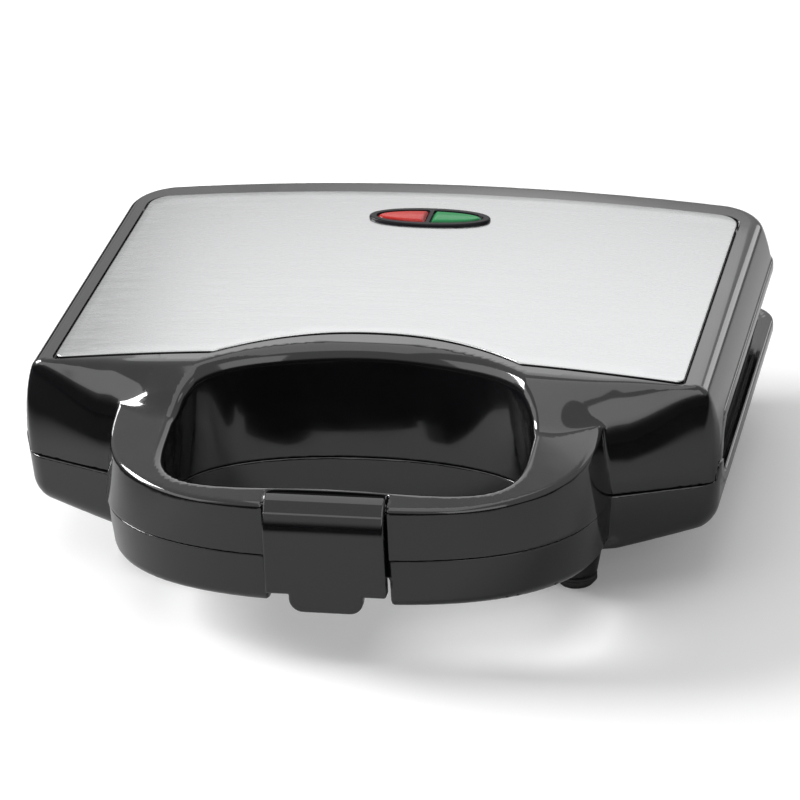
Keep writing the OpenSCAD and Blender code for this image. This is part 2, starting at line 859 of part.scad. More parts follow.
module latch_pin() {
    w = notch_w + 7;
    color([0.7, 0.7, 0.72]) translate([-w / 2, latch_y, latch_z])
        rotate([0, 90, 0]) cylinder(d = latch_pin_dia, h = w);
}

// Round wire wound on the latch pin
module latch_spring() {
    wire = 0.8;
    turns = 5;
    steps = 16;
    sides = 6;
    r = latch_pin_dia / 2 + 0.2 + wire / 2;
    n = turns * steps;
    pts = [for (i = [0:n], j = [0:sides - 1])
        let (a = i * 360 / steps, b = j * 360 / sides, q = r + wire / 2 * cos(b))
        [(i / n - 0.5) * (spring_w - 2.5) + wire / 2 * sin(b), q * cos(a), q * sin(a)]];
    walls = [for (i = [0:n - 1], j = [0:sides - 1]) let (k = (j + 1) % sides)
        [i * sides + j, i * sides + k, (i + 1) * sides + k, (i + 1) * sides + j]];
    ends = [[for (j = [0:sides - 1]) sides - 1 - j], [for (j = [0:sides - 1]) n * sides + j]];
    color([0.7, 0.7, 0.72]) translate([0, latch_y, latch_z]) polyhedron(pts, concat(walls, ends));
}

module latch_clip() {
    face_y = bar_y - run_gap;
    color([0.05, 0.05, 0.055]) difference() {
        union() {
            // front, top and hook in one bent profile
            across(latch_w, [
                [face_y, latch_low_z],
                [face_y, hook_z],
                [bar_y + hook_reach, hook_z + 0.6],
                [bar_y + hook_reach, hook_z + hook_h],
                [face_y, hook_z + hook_h],
                [face_y, latch_z - barrel_r],
                [latch_y, latch_z - barrel_r],
                [latch_y, latch_z + barrel_r],
                [face_y - latch_t + 1, latch_top_z],
                [face_y - latch_t, latch_top_z - 1],
                [face_y - latch_t, latch_low_z + 1],
                [face_y - latch_t + 1, latch_low_z]
            ]);
            translate([-latch_w / 2, latch_y, latch_z])
                rotate([0, 90, 0]) cylinder(r = barrel_r, h = latch_w);
            // finger tab
            translate([0, face_y, latch_low_z + 1]) rotate([90, 0, 0]) linear_extrude(latch_t)
                polygon(rounded([
                    [tab_w / 2, 0, 0],
                    [-tab_w / 2, 0, 0],
                    [-tab_w / 2, -tab_h - 1, 3],
                    [tab_w / 2, -tab_h - 1, 3]
                ]));
        }
        translate([-big / 2, latch_y, latch_z]) rotate([0, 90, 0])
            cylinder(d = latch_pin_dia + run_gap, h = big);
        // room for the spring
        translate([-spring_w / 2, latch_y - barrel_r - 0.4, latch_z - barrel_r - 1])
            cube([spring_w, 2 * barrel_r + 2, 2 * barrel_r + 4]);
    }
}

lower_housing();
lower_plate();
lower_heater();
lower_reflector();
lower_plate_screws();
thermostat();
terminal_block();
cord_inlet();
pad_front_left();
pad_front_right();
pad_rear_left();
pad_rear_right();
hinge_pin_left();
hinge_pin_right();
upper_housing();
top_inlay();
lamp_bezel();
red_lens();
green_lens();
lamp_holder();
indicator_lamps();
upper_plate();
upper_heater();
upper_reflector();
upper_plate_screws();
thermal_fuse();
latch_pin();
latch_spring();
latch_clip();
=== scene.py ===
"""Dresses the sandwich toaster: a steel-topped lid over a black base, with a loop handle and a front latch.

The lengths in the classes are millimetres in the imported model's frame; meshes are made in metres.
"""

import logging
import math
from collections.abc import Callable, Mapping, Sequence
from dataclasses import dataclass
from enum import Enum
from functools import reduce

import bmesh
import bpy
import numpy as np
from mathutils import Matrix, Vector
from mathutils.geometry import delaunay_2d_cdt


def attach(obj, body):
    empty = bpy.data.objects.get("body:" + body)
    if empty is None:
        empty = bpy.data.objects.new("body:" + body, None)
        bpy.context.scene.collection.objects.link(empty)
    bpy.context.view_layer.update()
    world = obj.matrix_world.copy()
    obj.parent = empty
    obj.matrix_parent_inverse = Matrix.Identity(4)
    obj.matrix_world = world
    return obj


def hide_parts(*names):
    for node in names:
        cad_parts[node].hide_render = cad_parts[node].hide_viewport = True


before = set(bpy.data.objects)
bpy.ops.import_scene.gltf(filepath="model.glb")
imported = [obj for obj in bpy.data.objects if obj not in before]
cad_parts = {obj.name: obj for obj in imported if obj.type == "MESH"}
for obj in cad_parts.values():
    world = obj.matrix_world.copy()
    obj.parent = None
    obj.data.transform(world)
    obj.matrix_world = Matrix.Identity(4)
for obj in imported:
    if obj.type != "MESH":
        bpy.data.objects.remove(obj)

logging.basicConfig(level=logging.INFO, format="%(levelname)s %(message)s")
log = logging.getLogger("toaster")

Array = np.ndarray
Field = Callable[[Array, Array, Array], Array]
Height = Callable[[Array, Array], Array]
Pair = tuple[float, float]
Triple = tuple[float, float, float]
Color = Triple
Piece = bpy.types.Object
Tree = bpy.types.NodeTree
Node = bpy.types.Node
Socket = bpy.types.NodeSocket
Sockets = Mapping[str, Socket]
Inputs = dict[str | int, object]
Material = bpy.types.Material

MM = 0.001
NUMBER = "NodeSocketFloat"
ROUNDS = 4  # how often a mesh's points are moved onto its field
ROAM = 0.3  # how far they may leave their cell, in cells
ON_FIELD = 0.06  # up to this distance, in millimetres, a point lies on its field
SAME_POINT = 1e-7


# ---------------------------------------------------------------- fields


def round_max(a: Array, b: Array, r: float) -> Array:
    """Cut one field with another, with the edge between them rounded.

    Args:
        a: signed distances, negative inside.
        b: signed distances of the cutting field.
        r: radius of the edge.

    Returns:
        Signed distances of what both have in common.
    """
    return np.minimum(-r, np.maximum(a, b)) + np.hypot(np.maximum(a + r, 0), np.maximum(b + r, 0))


def blend_min(a: Array, b: Array, k: Array | float) -> Array:
    """Join two fields, with the corner between them filled over a width of about k.

    Args:
        a: signed distances of one form.
        b: signed distances of the other.
        k: width of the fill.

    Returns:
        Signed distances of the two forms together.
    """
    h = np.clip(0.5 + 0.5 * (b - a) / k, 0, 1)
    return b * (1 - h) + a * h - k * h * (1 - h)


def common(*fields: Array) -> Array:
    """Keep what fields have in common, with sharp edges."""
    return reduce(np.maximum, fields)


def either(*fields: Array) -> Array:
    """Put fields together, with sharp corners."""
    return reduce(np.minimum, fields)


def step(x: Array, lo: float, hi: float) -> Array:
    """Rise smoothly from 0 at lo to 1 at hi."""
    t = np.clip((x - lo) / (hi - lo), 0, 1)
    return t * t * (3 - 2 * t)


def superellipse(x: Array, y: Array, a: Array | float, b: Array | float, n: float) -> Array:
    """Give the distance to a superellipse with half axes a and b and squareness n.

    Args:
        x: places across.
        y: places front to back.
        a: half width.
        b: half depth.
        n: squareness, where 2 is an ellipse.

    Returns:
        Signed distances, negative inside.
    """
    u, v = np.abs(x) / a, np.abs(y) / b
    s = np.maximum(u**n + v**n, 1e-9)
    g = s ** (1 / n)
    slope = g / s * np.hypot(u ** (n - 1) / a, v ** (n - 1) / b)
    return (g - 1) / np.maximum(slope, 1e-6)


def along_path(y: Array, z: Array, path: Sequence[Pair]) -> Array:
    """Give the distance to an open path of straight pieces.

    Args:
        y: first coordinates.
        z: second coordinates.
        path: the path's corners.

    Returns:
        The distance to the nearest point of the path.
    """
    best = np.full(np.shape(y), 1e9)
    for (y0, z0), (y1, z1) in zip(path, path[1:]):
        dy, dz = y1 - y0, z1 - z0
        t = np.clip(((y - y0) * dy + (z - z0) * dz) / (dy * dy + dz * dz), 0, 1)
        best = np.minimum(best, np.hypot(y - y0 - t * dy, z - z0 - t * dz))
    return best


def slope_of(shape: Field, p: Array, e: float = 0.04) -> tuple[Array, Array]:
    """Measure a field and its gradient.

    Args:
        shape: the field.
        p: points, one per row.
        e: step of the differences.

    Returns:
        The values and the gradients.
    """
    x, y, z = p.T
    grad = np.stack([
        shape(x + e, y, z) - shape(x - e, y, z),
        shape(x, y + e, z) - shape(x, y - e, z),
        shape(x, y, z + e) - shape(x, y, z - e),
    ], axis=1) / (2 * e)
    return shape(x, y, z), grad


def spaced(*spans: Triple) -> Array:
    """List grid lines, each span given as its start, its end and its step."""
    out = [np.linspace(a, b, max(1, round((b - a) / s)), endpoint=False) for a, b, s in spans]
    return np.concatenate(out + [[spans[-1][1]]])


def mirrored(*spans: Triple) -> Array:
    """List grid lines that are the same on both sides of 0, from the spans on one side."""
    right = spaced(*spans)
    return np.concatenate([-right[:0:-1], right])


# ---------------------------------------------------------------- meshes


def as_object(name: str, data: bpy.types.ID) -> Piece:
    """Put a mesh, a lamp or a camera into the scene as an object at the origin.

    Args:
        name: name of the object.
        data: what it shows.

    Returns:
        The new object.
    """
    obj = bpy.data.objects.new(name, data)
    bpy.context.scene.collection.objects.link(obj)
    return obj


def mesh_from(name: str, points: Array, faces: Sequence[Sequence[int]]) -> Piece:
    """Make an object from points in millimetres.

    Args:
        name: name of the piece.
        points: one row per vertex.
        faces: corners of each face.

    Returns:
        The new object, smooth shaded.
    """
    mesh = bpy.data.meshes.new(name)
    mesh.from_pydata((np.asarray(points) * MM).tolist(), [], faces)
    mesh.update()
    mesh.shade_smooth()
    return as_object(name, mesh)


def skin(name: str, shape: Field, xs: Array, ys: Array, zs: Array) -> Piece:
    """Cover a field with a closed mesh whose normals come from the field itself.

    Args:
        name: name of the piece.
        shape: signed distances, negative inside.
        xs: grid lines across.
        ys: grid lines front to back.
        zs: grid lines upwards.

    Returns:
        The new object.
    """
    yy, zz = np.meshgrid(ys, zs, indexing="ij")
    value = np.stack([shape(np.full_like(yy, x), yy, zz) for x in xs])
    solid = value < 0
    corners = [(i, j, k) for i in (0, 1) for j in (0, 1) for k in (0, 1)]
    size = [len(a) - 1 for a in (xs, ys, zs)]
    count = sum(solid[i:i + size[0], j:j + size[1], k:k + size[2]].astype(np.int8) for i, j, k in corners)
    active = (count > 0) & (count < 8)
    cells = np.argwhere(active)
    number = np.full(active.shape, -1, np.int64)
    number[active] = np.arange(len(cells))
    at = [np.stack([xs[cells[:, 0] + i], ys[cells[:, 1] + j], zs[cells[:, 2] + k]], 1) for i, j, k in corners]
    val = [value[cells[:, 0] + i, cells[:, 1] + j, cells[:, 2] + k] for i, j, k in corners]
    total = np.zeros((len(cells), 3))
    hits = np.zeros(len(cells))
    for a in range(8):
        for b in range(a + 1, 8):
            if sum(abs(p - q) for p, q in zip(corners[a], corners[b])) != 1:
                continue
            cross = (val[a] < 0) != (val[b] < 0)
            t = np.where(cross, val[a] / np.where(cross, val[a] - val[b], 1), 0)[:, None]
            total += np.where(cross[:, None], at[a] + (at[b] - at[a]) * t, 0)
            hits += cross
    points = total / hits[:, None]
    room = (at[7] - at[0]) * ROAM
    low, high = at[0] - room, at[7] + room
    for _ in range(ROUNDS):
        d, g = slope_of(shape, points)
        points = np.clip(points - g * (d / np.maximum((g * g).sum(1), 1e-3))[:, None], low, high)
    quads = []
    for axis in range(3):
        u, v = (axis + 1) % 3, (axis + 2) % 3
        a = np.moveaxis(solid, (axis, u, v), (0, 1, 2))
        n = np.moveaxis(number, (axis, u, v), (0, 1, 2))
        here, there = a[:-1, 1:-1, 1:-1], a[1:, 1:-1, 1:-1]
        ring = [n[:, :-1, :-1], n[:, 1:, :-1], n[:, 1:, 1:], n[:, :-1, 1:]]
        out = here & ~there
        into = ~here & there
        quads.append(np.stack([r[out] for r in ring], 1))
        quads.append(np.stack([r[into] for r in ring[::-1]], 1))
    obj = mesh_from(name, points, np.concatenate(quads).tolist())
    _, g = slope_of(shape, points)
    unit = g / np.maximum(np.linalg.norm(g, axis=1), 1e-9)[:, None]
    obj.data.normals_split_custom_set_from_vertices(unit.tolist())
    return obj


def fill_plan(ring: Array, pitch: float, height: Height) -> tuple[Array, list[list[int]]]:
    """Fill a closed outline, seen from above, with triangles that follow a height.

    Args:
        ring: the outline, anticlockwise, which becomes the first vertices.
        pitch: distance between the points inside.
        height: gives the height at a place.

    Returns:
        The vertices and the triangles, facing up.
    """
    lo, hi = ring.min(0), ring.max(0)
    gx, gy = np.meshgrid(*(np.arange(a + pitch / 2, b, pitch) for a, b in zip(lo, hi)))
    grid = np.stack([gx.ravel(), gy.ravel()], 1)
    inside = np.zeros(len(grid), bool)
    near = np.full(len(grid), 1e9)
    for p, q in zip(ring, np.roll(ring, -1, axis=0)):
        d = q - p
        t = np.clip(((grid - p) @ d) / (d @ d), 0, 1)
        near = np.minimum(near, np.linalg.norm(grid - p - t[:, None] * d, axis=1))
        if p[1] != q[1]:
            hit = (p[1] > grid[:, 1]) != (q[1] > grid[:, 1])
            inside ^= hit & (grid[:, 0] < (q[0] - p[0]) * (grid[:, 1] - p[1]) / (q[1] - p[1]) + p[0])
    flat = np.concatenate([ring, grid[inside & (near > pitch * 0.45)]])
    made = delaunay_2d_cdt([Vector(p) for p in flat], [], [list(range(len(ring)))], 1, SAME_POINT)
    plan = np.array([tuple(p) for p in made[0]])
    return np.column_stack([plan, height(plan[:, 0], plan[:, 1])]), [list(f) for f in made[2]]


def spread(ring: Array, pitch: float) -> Array:
    """Add points to a closed outline until no side is longer than pitch.

    Args:
        ring: the outline's corners.
        pitch: the longest side, in millimetres.

    Returns:
        The outline with its added points.
    """
    out = []
    for p, q in zip(ring, np.roll(ring, -1, axis=0)):
        n = max(1, math.ceil(np.linalg.norm(q - p) / pitch))
        out.append(p + (q - p) * (np.arange(n) / n)[:, None])
    return np.concatenate(out)


def inset(ring: Array, d: float) -> Array:
    """Move a closed, anticlockwise outline inwards by d.

    Args:
        ring: the outline's corners.
        d: how far each side moves.

    Returns:
        The new corners.
    """
    a, b = ring - np.roll(ring, 1, axis=0), np.roll(ring, -1, axis=0) - ring
    n = [np.stack([-v[:, 1], v[:, 0]], 1) / np.linalg.norm(v, axis=1)[:, None] for v in (a, b)]
    mid = n[0] + n[1]
    return ring + mid * (2 * d / (mid**2).sum(1))[:, None]


def plate_mesh(name: str, ring: Array, profile: Sequence[Pair], pitch: float, height: Height) -> Piece:
    """Make a closed plate whose faces follow a height and whose edge follows a profile.

    Args:
        name: name of the piece.
        ring: the plate's outline from above, anticlockwise.
        profile: pairs of inset and rise, from the lower face's edge to the upper face's.
        pitch: distance between the points on the faces.
        height: gives the height that the rises start from.

    Returns:
        The new object.
    """
    n = len(ring)
    rings = [inset(ring, d) for d, _ in profile]
    rows = [np.column_stack([r, height(r[:, 0], r[:, 1]) + rise]) for r, (_, rise) in zip(rings, profile)]
    faces = []
    for k in range(len(rows) - 1):
        for i in range(n):
            j = (i + 1) % n
            faces.append((k * n + i, k * n + j, (k + 1) * n + j, (k + 1) * n + i))
    points = [np.concatenate(rows)]
    count = n * len(rows)
    for row, rise, up in ((rings[-1], profile[-1][1], True), (rings[0], profile[0][1], False)):
        plan, tris = fill_plan(row, pitch, lambda x, y, rise=rise: height(x, y) + rise)
        first = (len(rows) - 1) * n if up else 0
        names = [first + v if v < n else count + v - n for v in range(len(plan))]
        faces += [tuple(names[v] for v in (t if up else t[::-1])) for t in tris]
        points.append(plan[n:])
        count += len(plan) - n
    return mesh_from(name, np.concatenate(points), faces)


def apply_all(obj: Piece) -> None:
    """Turn what an object's modifiers make of it into its own plain mesh.

    Args:
        obj: the object, which then has no modifiers.
    """
    done = bpy.data.meshes.new_from_object(obj.evaluated_get(bpy.context.evaluated_depsgraph_get()))
    obj.modifiers.clear()
    old, obj.data = obj.data, done
    bpy.data.meshes.remove(old)


def values_of(items: bpy.types.bpy_prop_collection, name: str, width: int = 1, kind: type = float) -> Array:
    """Read one property of all vertices, corners or faces of a mesh.

    Args:
        items: the vertices, corners or faces.
        name: the property.
        width: how many numbers it has.
        kind: type of the numbers.

    Returns:
        The numbers, one row per item.
    """
    out = np.empty(len(items) * width, kind)
    items.foreach_get(name, out)
    return out.reshape(-1, width) if width > 1 else out


def carve(obj: Piece, tool: Piece, shape: Field) -> None:
    """Cut one mesh with another, and shade what is left of the first by its field.

    Args:
        obj: the piece that is cut.
        tool: the cutter, which is removed.
        shape: the field that obj was made from.
    """
    cut = obj.modifiers.new("carve", "BOOLEAN")
    cut.operation, cut.solver, cut.object = "DIFFERENCE", "MANIFOLD", tool
    apply_all(obj)
    bpy.data.objects.remove(tool)
    shade_by(obj, shape)


def shade_by(obj: Piece, shape: Field) -> None:
    """Take normals from a field where the mesh lies on it, and flat ones elsewhere.

    Args:
        obj: the piece.
        shape: the field.
    """
    mesh = obj.data
    d, g = slope_of(shape, values_of(mesh.vertices, "co", 3) / MM)
    unit = g / np.maximum(np.linalg.norm(g, axis=1), 1e-9)[:, None]
    corner = values_of(mesh.loops, "vertex_index", kind=np.int64)
    total = values_of(mesh.polygons, "loop_total", kind=np.int64)
    flat = values_of(mesh.polygons, "normal", 3)
    owner = np.repeat(np.arange(len(total)), total)
    off = np.bincount(owner, np.abs(d[corner]) > ON_FIELD, len(total)) > 0
    normals = np.where(off[owner][:, None], flat[owner], unit[corner])
    mesh.shade_smooth()
    mesh.normals_split_custom_set(normals.tolist())


def lathe(name: str, profile: Sequence[Pair], place: Triple, axis: str, sides: int = 64) -> Piece:
    """Turn a closed profile of radius and height round an axis.

    Args:
        name: name of the piece.
        profile: corners, anticlockwise with the radius to the right and the height upwards.
        place: where the axis starts.
        axis: Z or Y.
        sides: number of steps round.

    Returns:
        The new object.
    """
    n = len(profile)
    t = np.arange(sides) / sides * 2 * math.pi
    r, h = np.array(profile).T
    x, y = np.outer(np.cos(t), r), np.outer(np.sin(t), r)
    z = np.tile(h, (sides, 1))
    pts = np.stack([x, y, z] if axis == "Z" else [x, z, -y], 2).reshape(-1, 3) + np.array(place)
    quads = [(i * n + k, (i + 1) % sides * n + k, (i + 1) % sides * n + (k + 1) % n, i * n + (k + 1) % n)
             for i in range(sides) for k in range(n)]
    obj = mesh_from(name, pts, quads)
    work = bmesh.new()
    work.from_mesh(obj.data)
    bmesh.ops.remove_doubles(work, verts=work.verts, dist=SAME_POINT)
    bmesh.ops.dissolve_degenerate(work, edges=work.edges, dist=SAME_POINT)
    bmesh.ops.recalc_face_normals(work, faces=work.faces)
    work.to_mesh(obj.data)
    work.free()
    obj.data.set_sharp_from_angle(angle=math.radians(40))
    return obj


def rounded(corners: Sequence[Triple], steps: int) -> list[Pair]:
    """Round the corners of a closed outline, each given as its place and its radius.

    Args:
        corners: two places and a radius for each corner.
        steps: number of straight pieces round a corner.

    Returns:
        The outline's points.
    """
    out = []
    count = len(corners)
    for i, (x, y, r) in enumerate(corners):
        b = Vector((x, y))
        if r == 0:
            out.append((x, y))
            continue
        u = (Vector(corners[i - 1][:2]) - b).normalized()
        w = (Vector(corners[(i + 1) % count][:2]) - b).normalized()
        half = u.angle(w) / 2
        m = b + (u + w).normalized() * r / math.sin(half)
        s, e = b + u * r / math.tan(half) - m, b + w * r / math.tan(half) - m
        turn = s.angle_signed(e)
        for k in range(steps + 1):
            c, d = math.cos(-turn * k / steps), math.sin(-turn * k / steps)
            out.append((m.x + s.x * c - s.y * d, m.y + s.x * d + s.y * c))
    return out


# ---------------------------------------------------------------- sizes


@dataclass(frozen=True)
class Toaster:
    """Lengths of the closed toaster that its pieces share, in millimetres."""

    half_w: float = 119.5
    front: float = -46.5
    back: float = 108.5
    root: float = -60.0
    bow_run: float = 33.3
    corner_r: float = 14.0
    cheek_r: float = 6.0
    wall: float = 2.6
    rim_in: float = 0.35
    rim_depth: float = 6.0
    lid_top: float = 78.6
    crown_r: float = 1103.6
    handle_w: float = 85.0
    handle_b: float = 60.2
    handle_y: float = -56.0
    handle_power: float = 2.6
    bar_front: float = -116.2
    bar_back: float = -104.9
    bar_half: float = 26.0
    notch_half: float = 20.25
    notch_front: float = -113.9
    grip_y: float = -69.65
    grip_w: float = 60.4
    grip_b: float = 35.25
    grip_back: float = 34.2
    grip_lean: float = 6.0
    grip_z: Pair = (10.0, 80.2)
    grip_powers: Pair = (4.0, 2.1)
    hinge: Pair = (114.0, 46.0)
    hinge_x: float = 76.0
    knuckle_r: float = 5.5
    arm_front: float = 105.0
    inlay_w: float = 107.0
    inlay_front: float = -43.5
    inlay_back: float = 99.0
    inlay_rise: float = 0.6
    inlay_corners: Pair = (3.0, 7.0)
    wave_w: float = 54.0
    wave_d: float = 18.9
    wave_power: float = 2.2
    wave_start: float = 0.05
    bezel_y: float = 75.0
    leg_x: float = 70.0
    legs_y: Pair = (-46.5, 80.5)
    bush: Pair = (38.0, 25.2)

    def crown(self, x: Array) -> Array:
        """Give the height of the lid's top at x."""
        return self.lid_top - self.crown_r + np.sqrt(self.crown_r**2 - x**2)

    def lid_height(self, x: Array, _y: Array) -> Array:
        """Give the height of the lid's top at a place seen from above."""
        return self.crown(x)

    def plan(self, x: Array, y: Array, half_w: Array | float, back: float | None = None) -> Array:
        """Measure the body's outline from above, for one half width and one back.

        Args:
            x: places across.
            y: places front to back.
            half_w: half width of the body.
            back: its back, if it isn't the toaster's.

        Returns:
            Signed distances, negative inside.
        """
        ax = np.abs(x)
        turn = math.atan2(self.front - self.root, self.bow_run)
        sides = round_max(ax - half_w, y - (self.back if back is None else back), self.corner_r)
        face = (ax - self.half_w) * math.sin(turn) + (self.front - y) * math.cos(turn)
        return common(round_max(sides, face, self.cheek_r), self.root - y)

    def handle_plan(self, x: Array, y: Array, inset_by: Array | float) -> Array:
        """Measure the handle's outline from above, taken in by inset_by.

        Args:
            x: places across.
            y: places front to back.
            inset_by: how far the outline is taken in.

        Returns:
            Signed distances, negative inside.
        """
        a, b = self.handle_w - inset_by, self.handle_b - inset_by
        round_part = superellipse(x, np.minimum(y - self.handle_y, 0), a, b, self.handle_power)
        return np.where(y < self.handle_y, round_part, np.abs(x) - a)

    def grip(self, x: Array, y: Array, z: Array) -> Array:
        """Measure the finger opening, negative inside it.

        Args:
            x: places across.
            y: places front to back.
            z: places upwards.

        Returns:
            Signed distances, negative inside.
        """
        v = y - self.grip_y
        low, high = self.grip_z
        lean = self.grip_lean * np.clip((high - z) / (high - low), 0, 1)
        b = np.where(v > 0, self.grip_back - lean, self.grip_b)
        front, back = (superellipse(x, v, self.grip_w, b, power) for power in self.grip_powers)
        return np.where(v > 0, back, front)

    def inlay_ring(self, grow: float) -> Array:
        """List the inlay's outline with its wave, anticlockwise from above, grown by grow.

        Args:
            grow: how far the outline is moved out.

        Returns:
            The outline's points.
        """
        w, front, back = self.inlay_w + grow, self.inlay_front - grow, self.inlay_back + grow
        wave_w = self.wave_w + grow
        x = np.linspace(-1, 1, 61) * wave_w
        rise = self.wave_d * np.maximum(0, 1 - np.abs(x / wave_w) ** self.wave_power)
        parts = [np.stack([x, front + rise], 1)[rise > self.wave_start]]
        r_front, r_back = self.inlay_corners
        for cx, cy, r, start in ((w, front, r_front, -90), (w, back, r_back, 0),
                                 (-w, back, r_back, 90), (-w, front, r_front, 180)):
            t = np.radians(start + np.linspace(0, 90, 9))
            parts.append(np.stack([cx - math.copysign(r, cx) + r * np.cos(t),
                                   cy - math.copysign(r, cy) + r * np.sin(t)], 1))
        return spread(np.concatenate(parts), 4.0)


T = Toaster()


# ---------------------------------------------------------------- node trees


class Wiring:
    """Short ways to add nodes to one node tree."""

    def __init__(self, tree: Tree) -> None:
        """Keep the tree."""
        self.tree = tree

    def fill(self, slot: Socket, value: object) -> None:
        """Link a socket to an input, or set the input's own value.

        Args:
            slot: the input.
            value: a socket, or a plain value.
        """
        if isinstance(value, Socket):
            self.tree.links.new(value, slot)
        else:
            slot.default_value = value

    def node(self, kind: str, inputs: Inputs | None = None, **settings: object) -> Node:
        """Add a node.

        Args:
            kind: the node's type.
            inputs: a value or a socket for each input named.
            settings: the node's own properties.

        Returns:
            The new node.
        """
        made = self.tree.nodes.new(kind)
        for key, value in settings.items():
            setattr(made, key, value)
        for key, value in (inputs or {}).items():
            self.fill(made.inputs[key], value)
        return made

    def out(self, kind: str, inputs: Inputs | None = None, **settings: object) -> Socket:
        """Add a node and give its first output."""
        return self.node(kind, inputs, **settings).outputs[0]

    def give(self, out: Node, **values: Socket) -> Tree:
        """Link values to a group's outputs and give the group.

        Args:
            out: the group's output node.
            values: a socket for each output named.

        Returns:
            The group.
        """
        for label, value in values.items():
            self.tree.links.new(value, out.inputs[label])
        return self.tree

    def math(self, op: str, a: object, b: object = 0.0, clamp: bool = False) -> Socket:
        """Add a Math node and give its result."""
        return self.out("ShaderNodeMath", {0: a, 1: b}, operation=op, use_clamp=clamp)

    def product(self, first: object, *others: object) -> Socket:
        """Multiply values with one another.

        Args:
            first: a value or a socket.
            others: more of them.

        Returns:
            The product.
        """
        for other in others:
            first = self.math("MULTIPLY", first, other)
        return first

    def vector(self, op: str, a: object, b: Triple = (0, 0, 0), c: Triple = (0, 0, 0)) -> Node:
        """Add a Vector Math node."""
        return self.node("ShaderNodeVectorMath", {0: a, 1: b, 2: c}, operation=op)

    def band(self, value: object, lo: float, hi: float, start: float = 0.0, end: float = 1.0) -> Socket:
        """Map a range of a value smoothly to start at lo and end at hi."""
        inputs = {"Value": value, "From Min": lo, "From Max": hi, "To Min": start, "To Max": end}
        return self.out("ShaderNodeMapRange", inputs, interpolation_type="SMOOTHSTEP")

    def noise(self, vector: object, scale: object, detail: float = 2.0, rough: float = 0.5) -> Socket:
        """Add a noise and give its value."""
        inputs = {"Vector": vector, "Scale": scale, "Detail": detail, "Roughness": rough}
        return self.out("ShaderNodeTexNoise", inputs)

    def stretch(self, vector: object, scale: Triple, turn: float = 0.0) -> Socket:
        """Scale and turn a vector."""
        return self.out("ShaderNodeMapping", {"Vector": vector, "Scale": scale, "Rotation": (0, 0, turn)})

    def upward(self) -> Socket:
        """Give how far the surface faces up, from -1 to 1."""
        normal = self.node("ShaderNodeNewGeometry").outputs["Normal"]
        return self.node("ShaderNodeSeparateXYZ", {0: normal}).outputs["Z"]


class Effect(Enum):
    """Surface effects that several finishes share."""

    GRAIN = "moulded_grain"
    SCRATCHES = "hairline_scratches"
    DUST = "settled_dust"
    BRUSHING = "brushed_lines"
    WEAR = "rubbed_edges"


def new_group(effect: Effect, takes: dict[str, float], gives: Sequence[str]) -> tuple[Wiring, Sockets, Node]:
    """Start the node group of an effect, which always takes a place too.

    Args:
        effect: what the group makes.
        takes: usual value of each number that it takes.
        gives: names of the numbers that it gives.

    Returns:
        The wiring of the group, what it takes by name, and its output node.
    """
    tree = bpy.data.node_groups.new(effect.value, "ShaderNodeTree")
    tree.interface.new_socket("Vector", in_out="INPUT", socket_type="NodeSocketVector")
    for label, value in takes.items():
        tree.interface.new_socket(label, in_out="INPUT", socket_type=NUMBER).default_value = value
    for label in gives:
        tree.interface.new_socket(label, in_out="OUTPUT", socket_type=NUMBER)
    w = Wiring(tree)
    return w, w.node("NodeGroupInput").outputs, w.node("NodeGroupOutput")


def build_effects() -> dict[Effect, Tree]:
    """Build the group of each shared effect.

    Returns:
        The groups by effect.
    """
    made = {}
    w, take, out = new_group(Effect.GRAIN, {"Scale": 1500.0}, ("Height", "Cloud"))
    fine = w.noise(take["Vector"], take["Scale"], 1.0)
    wide = w.noise(take["Vector"], w.product(take["Scale"], 0.02), 3.0, 0.6)
    made[Effect.GRAIN] = w.give(out, Height=fine, Cloud=w.band(wide, 0.3, 0.7))

    w, take, out = new_group(Effect.SCRATCHES, {"Scale": 60.0, "Amount": 0.5}, ("Mask",))
    lines = []
    for turn, long in ((0.35, 22.0), (1.9, 30.0), (2.7, 18.0)):
        along = w.stretch(take["Vector"], (1.0, long, 1.0), turn)
        lines.append(w.band(w.noise(along, take["Scale"], 1.0), 0.715, 0.76))
    lines = w.math("MAXIMUM", w.math("MAXIMUM", lines[0], lines[1]), lines[2])
    patchy = w.band(w.noise(take["Vector"], 25.0, 1.0), 0.45, 0.62)
    made[Effect.SCRATCHES] = w.give(out, Mask=w.product(lines, patchy, take["Amount"]))

    w, take, out = new_group(Effect.DUST, {"Amount": 0.5}, ("Mask",))
    film = w.band(w.noise(take["Vector"], 45.0, 4.0, 0.65), 0.35, 0.75)
    specks = w.band(w.noise(take["Vector"], 1300.0, 0.0), 0.73, 0.79)
    lying = w.product(w.math("ADD", w.product(film, 0.35), specks), w.band(w.upward(), 0.2, 0.95))
    made[Effect.DUST] = w.give(out, Mask=w.math("MULTIPLY", lying, take["Amount"], clamp=True))

    w, take, out = new_group(Effect.BRUSHING, {"Scale": 1000.0}, ("Height", "Tone"))
    near = w.noise(w.stretch(take["Vector"], (0.02, 1.0, 1.0)), take["Scale"], 2.0, 0.7)
    far = w.noise(w.stretch(take["Vector"], (0.06, 1.0, 1.0)), w.product(take["Scale"], 0.22), 2.0)
    tone = w.math("ADD", w.product(near, 0.6), w.product(far, 0.4))
    made[Effect.BRUSHING] = w.give(out, Height=near, Tone=w.band(tone, 0.3, 0.7))

    w, take, out = new_group(Effect.WEAR, {"Amount": 0.5}, ("Mask",))
    sharp = w.band(w.node("ShaderNodeNewGeometry").outputs["Pointiness"], 0.515, 0.58)
    patchy = w.band(w.noise(take["Vector"], 90.0, 4.0, 0.7), 0.4, 0.7)
    made[Effect.WEAR] = w.give(out, Mask=w.product(sharp, patchy, take["Amount"]))
    return made


EFFECTS = build_effects()


